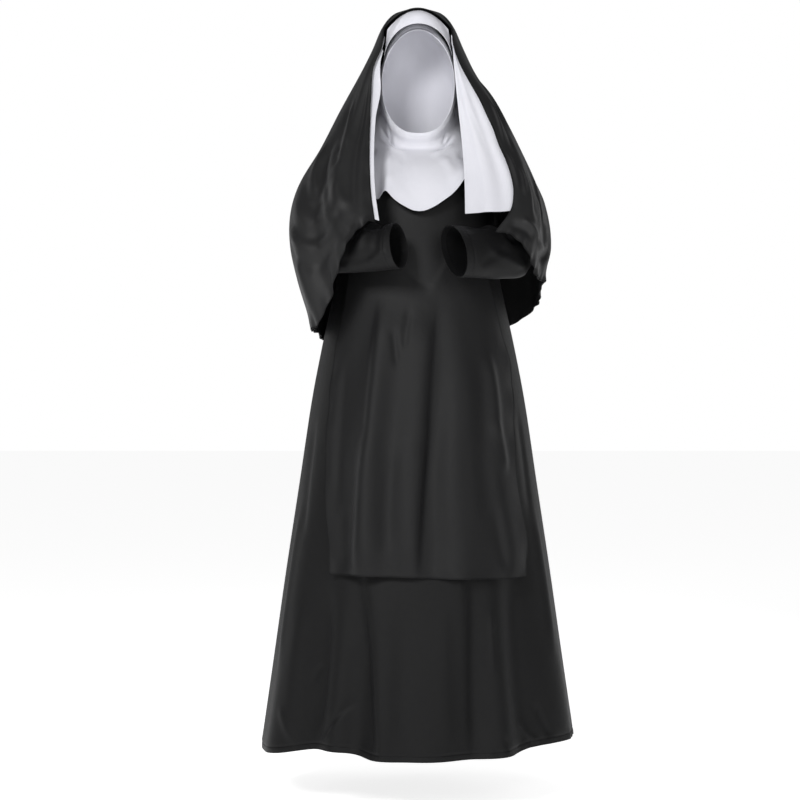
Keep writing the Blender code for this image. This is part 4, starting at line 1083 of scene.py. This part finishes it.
def hem_stitches(name, points, distance, mat, wrap=False, from_end=False):
    """Running stitches a distance in from a hem."""
    normal = normals_of(points, wrap)
    line, up = level_line(points, normal, distance, from_end)
    if wrap:
        line = np.vstack((line, line[:1]))
        up = np.vstack((up, up[:1]))
    place, ahead, facing = resampled(line, up, 0.0034)
    return finish_piece(thread_piece(name, place + facing * 0.0001, ahead, facing, 0.0026, 0.00032, mat))


def overlock(name, line, inward, up, mat, pitch=0.0030, reach=0.0042):
    """Slanted threads over a cut edge, on its outer face."""
    place, ahead, facing = resampled(line, up, pitch)
    into, _, _ = resampled(line + inward, up, pitch)
    count = min(len(place), len(into))
    place, ahead, facing = place[:count], ahead[:count], facing[:count]
    inner = unit(np.cross(facing, ahead))
    toward = unit(into[:count] - place)
    inner = inner * np.sign(np.sum(inner * toward, axis=1, keepdims=True))
    slant = unit(inner + ahead * 0.35)
    centre = place + inner * (reach / 2 - 0.0006) + facing * 0.00015
    return finish_piece(thread_piece(name, centre, slant, facing, reach, 0.00042, mat))


def edge_frame(points, axis, index, wrap=False):
    """An edge line of a grid, with the directions into the cloth and out of its face."""
    normal = normals_of(points, wrap)
    line = np.take(points, index, axis=axis)
    into = np.take(points, index + (1 if index == 0 else -1) * 2, axis=axis) - line
    return line, into, np.take(normal, index, axis=axis)


def sewn(name, node, slot, mat, points, wall, **shape):
    """A cloth piece that takes the place of its solid."""
    return finish_piece(cloth_piece(name + "_cloth", points, mat, wall, **shape), slot, node)


ROBE_GRID = {True: (201, 150, 26), False: (181, 140, 24)}     # columns, rows of the skirt, rows above it
SLEEVE_GRID = (110, 120)
SCAPULAR_GRID = {True: (151, 150, 24), False: (131, 130, 22)}
WIMPLE_GRID = (180, 90)
VEIL_COLUMNS = 140
VEIL_FRONT_COLUMNS = 24
VEIL_ROWS = 130
VEIL_CROWN_ROWS = 7
BAND_GRID = (20, 70)
LINING_GRID = (110, 26)
STITCH_INSET = 0.0015        # hem stitches lie this far inside the turned hem's fold

robe_front_points, wall = robe_grid(True, *ROBE_GRID[True])
robe_front = sewn("robe_front", "robe_front", "black_cloth", BLACK, robe_front_points, wall)
robe_back_points, wall = robe_grid(False, *ROBE_GRID[False])
robe_back = sewn("robe_back", "robe_back", "black_cloth", BLACK, robe_back_points, wall)

sleeve_right_points, wall = sleeve_grid(SLEEVE_RIGHT, SLEEVE_RIGHT_CREASES, *SLEEVE_GRID, 1)
sleeve_right = sewn("sleeve_right", "sleeve_right", "sleeve_cloth", SLEEVE_BLACK, sleeve_right_points, wall,
                    wrap=True)
sleeve_left_points, wall = sleeve_grid(SLEEVE_LEFT, SLEEVE_LEFT_CREASES, *SLEEVE_GRID, -1)
sleeve_left = sewn("sleeve_left", "sleeve_left", "sleeve_cloth", SLEEVE_BLACK, sleeve_left_points, wall,
                   wrap=True)

scapular_front_points, wall = scapular_grid(True, SCAPULAR_HEM_FRONT, *SCAPULAR_GRID[True], SCAPULAR_FOLDS,
                                            SCAPULAR_FRONT_CREASES)
scapular_front = sewn("scapular_front", "scapular_front", "scapular_cloth", SCAPULAR_BLACK,
                      scapular_front_points, wall)
scapular_back_points, wall = scapular_grid(False, SCAPULAR_HEM_BACK, *SCAPULAR_GRID[False],
                                           SCAPULAR_BACK_FOLDS, SCAPULAR_BACK_CREASES)
scapular_back = sewn("scapular_back", "scapular_back", "scapular_cloth", SCAPULAR_BLACK,
                     scapular_back_points, wall)

wimple_points, wall = wimple_grid(*WIMPLE_GRID)
wimple = sewn("wimple", "wimple", "white_cloth", WHITE, wimple_points, wall, wrap=True)
veil_points, keep, crown, open_from = veil_grid(VEIL_COLUMNS, VEIL_FRONT_COLUMNS, VEIL_ROWS, VEIL_CROWN_ROWS)
veil = sewn("veil", "veil", "veil_cloth", VEIL_BLACK, veil_points, CLOTH, wrap=True, keep=keep, cap=crown)
band = sewn("forehead_band", "forehead_band", "white_cloth", WHITE, band_grid(*BAND_GRID), CLOTH_WHITE)
lining_right_points = lining_right_grid(*LINING_GRID)
lining_right = sewn("lining_right", "veil_lining_right", "lining_cloth", LINING_WHITE, lining_right_points,
                    CLOTH_WHITE)
lining_left = sewn("lining_left", "veil_lining_left", "lining_cloth", LINING_WHITE,
                   lining_left_grid(*LINING_GRID), CLOTH_WHITE)

front_hem = hem_stitches("robe_front_hem_stitches", robe_front_points, HEM_TURN - STITCH_INSET, BLACK_THREAD)
back_hem = hem_stitches("robe_back_hem_stitches", robe_back_points, HEM_TURN - STITCH_INSET, BLACK_THREAD)
cuff_right = hem_stitches("cuff_right_stitches", sleeve_right_points, CUFF_TURN - STITCH_INSET, BLACK_THREAD,
                          wrap=True, from_end=True)
cuff_left = hem_stitches("cuff_left_stitches", sleeve_left_points, CUFF_TURN - STITCH_INSET, BLACK_THREAD,
                         wrap=True, from_end=True)
face_hem = hem_stitches("wimple_face_stitches", wimple_points, 0.0085, WHITE_THREAD, wrap=True)
bib_hem = hem_stitches("wimple_bib_stitches", wimple_points, 0.0050, WHITE_THREAD, wrap=True, from_end=True)
lining_right_turned = lining_right_points.transpose(1, 0, 2)[:, ::-1]
lining_right_hem = hem_stitches("lining_right_stitches", lining_right_turned, 0.0050, WHITE_THREAD)


def overlocked_edges(name, points, edges):
    """Overlock threads along named edges of a grid: each edge is a name, an axis and an end."""
    pieces = []
    for edge, axis, index in edges:
        line, into, up = edge_frame(points, axis, index)
        pieces.append(overlock(f"{name}_{edge}_overlock", line, into, up, BLACK_THREAD))
    return pieces


PANEL_EDGES = (("hem", 0, 0), ("side_a", 1, 0), ("side_b", 1, -1))
VEIL_EDGES = (("hem", 0, -1), ("left", 1, 0), ("right", 1, -1))
# the panels are overlocked on their skirt rows only, below the shoulder
scapular_front_edges = overlocked_edges("scapular_front", scapular_front_points[:SCAPULAR_GRID[True][1]],
                                        PANEL_EDGES)
scapular_back_edges = overlocked_edges("scapular_back", scapular_back_points[:SCAPULAR_GRID[False][1]],
                                       PANEL_EDGES)
veil_edges = overlocked_edges("veil", veil_points[open_from:, :2 * VEIL_COLUMNS + 1], VEIL_EDGES)

# ------------------------------------------------------------------ stage, light and camera
FLOOR_SIZE = 60.0
AMBIENT = 0.17
PURE_WHITE = (1.0, 1.0, 1.0, 1.0)
floor_mesh = bpy.data.meshes.new("floor")
half = FLOOR_SIZE / 2
floor_mesh.from_pydata([(-half, -half, -SHOULDER_HEIGHT), (half, -half, -SHOULDER_HEIGHT),
                        (half, half, -SHOULDER_HEIGHT), (-half, half, -SHOULDER_HEIGHT)], [], [(0, 1, 2, 3)])
floor = placed("floor", floor_mesh)
floor_mat, floor_shader = new_material("floor_pale", Base_Color=(0.90, 0.90, 0.90, 1.0), Roughness=0.9,
                                       Specular_IOR_Level=0.0, Emission_Color=PURE_WHITE,
                                       Emission_Strength=0.80)
floor_mesh.materials.append(floor_mat)

world = bpy.data.worlds.new("studio")
world.use_nodes = True
studio = world.node_tree.nodes["Background"]
studio.inputs["Color"].default_value = PURE_WHITE
studio.inputs["Strength"].default_value = AMBIENT
backdrop = new_node(world, "Background", Color=PURE_WHITE, Strength=1.0)
seen = new_node(world, "LightPath")
either = new_node(world, "MixShader")
join = world.node_tree.links.new
join(seen.outputs["Is Camera Ray"], either.inputs["Fac"])
join(studio.outputs["Background"], either.inputs[1])
join(backdrop.outputs["Background"], either.inputs[2])
join(either.outputs["Shader"], world.node_tree.nodes["World Output"].inputs["Surface"])
bpy.context.scene.world = world


def area_light(name, location, target, size, power):
    lamp = bpy.data.lights.new(name, "AREA")
    lamp.shape = "RECTANGLE"
    lamp.size = size[0]
    lamp.size_y = size[1]
    lamp.energy = power
    obj = placed(name, lamp)
    obj.location = location
    aim = unit(np.array(target, float) - np.array(location, float))
    yaw = math.atan2(aim[0], -aim[1])
    pitch = math.acos(max(-1.0, min(1.0, -aim[2])))
    obj.rotation_euler = (pitch, 0.0, yaw + math.pi)


area_light("key", (-1.7, -3.6, 1.5), (0.0, 0.0, -0.4), (1.1, 1.1), 98.0)
area_light("fill", (1.2, -3.9, 0.5), (0.0, 0.0, -0.5), (1.6, 1.6), 34.0)
area_light("rim_left", (-2.6, 1.7, 0.3), (0.0, 0.0, -0.4), (1.0, 2.2), 12.0)
area_light("rim_right", (2.6, 1.7, 0.3), (0.0, 0.0, -0.4), (1.0, 2.2), 15.0)

camera_data = bpy.data.cameras.new("camera")
camera_data.lens = 92.05
camera_data.sensor_width = 36.0
camera = placed("camera", camera_data)
camera.location = (-0.0396, -4.5, -0.522)
camera.rotation_euler = (math.pi / 2, 0.0, 0.0)
bpy.context.scene.camera = camera
bpy.context.scene.view_settings.view_transform = "Standard"
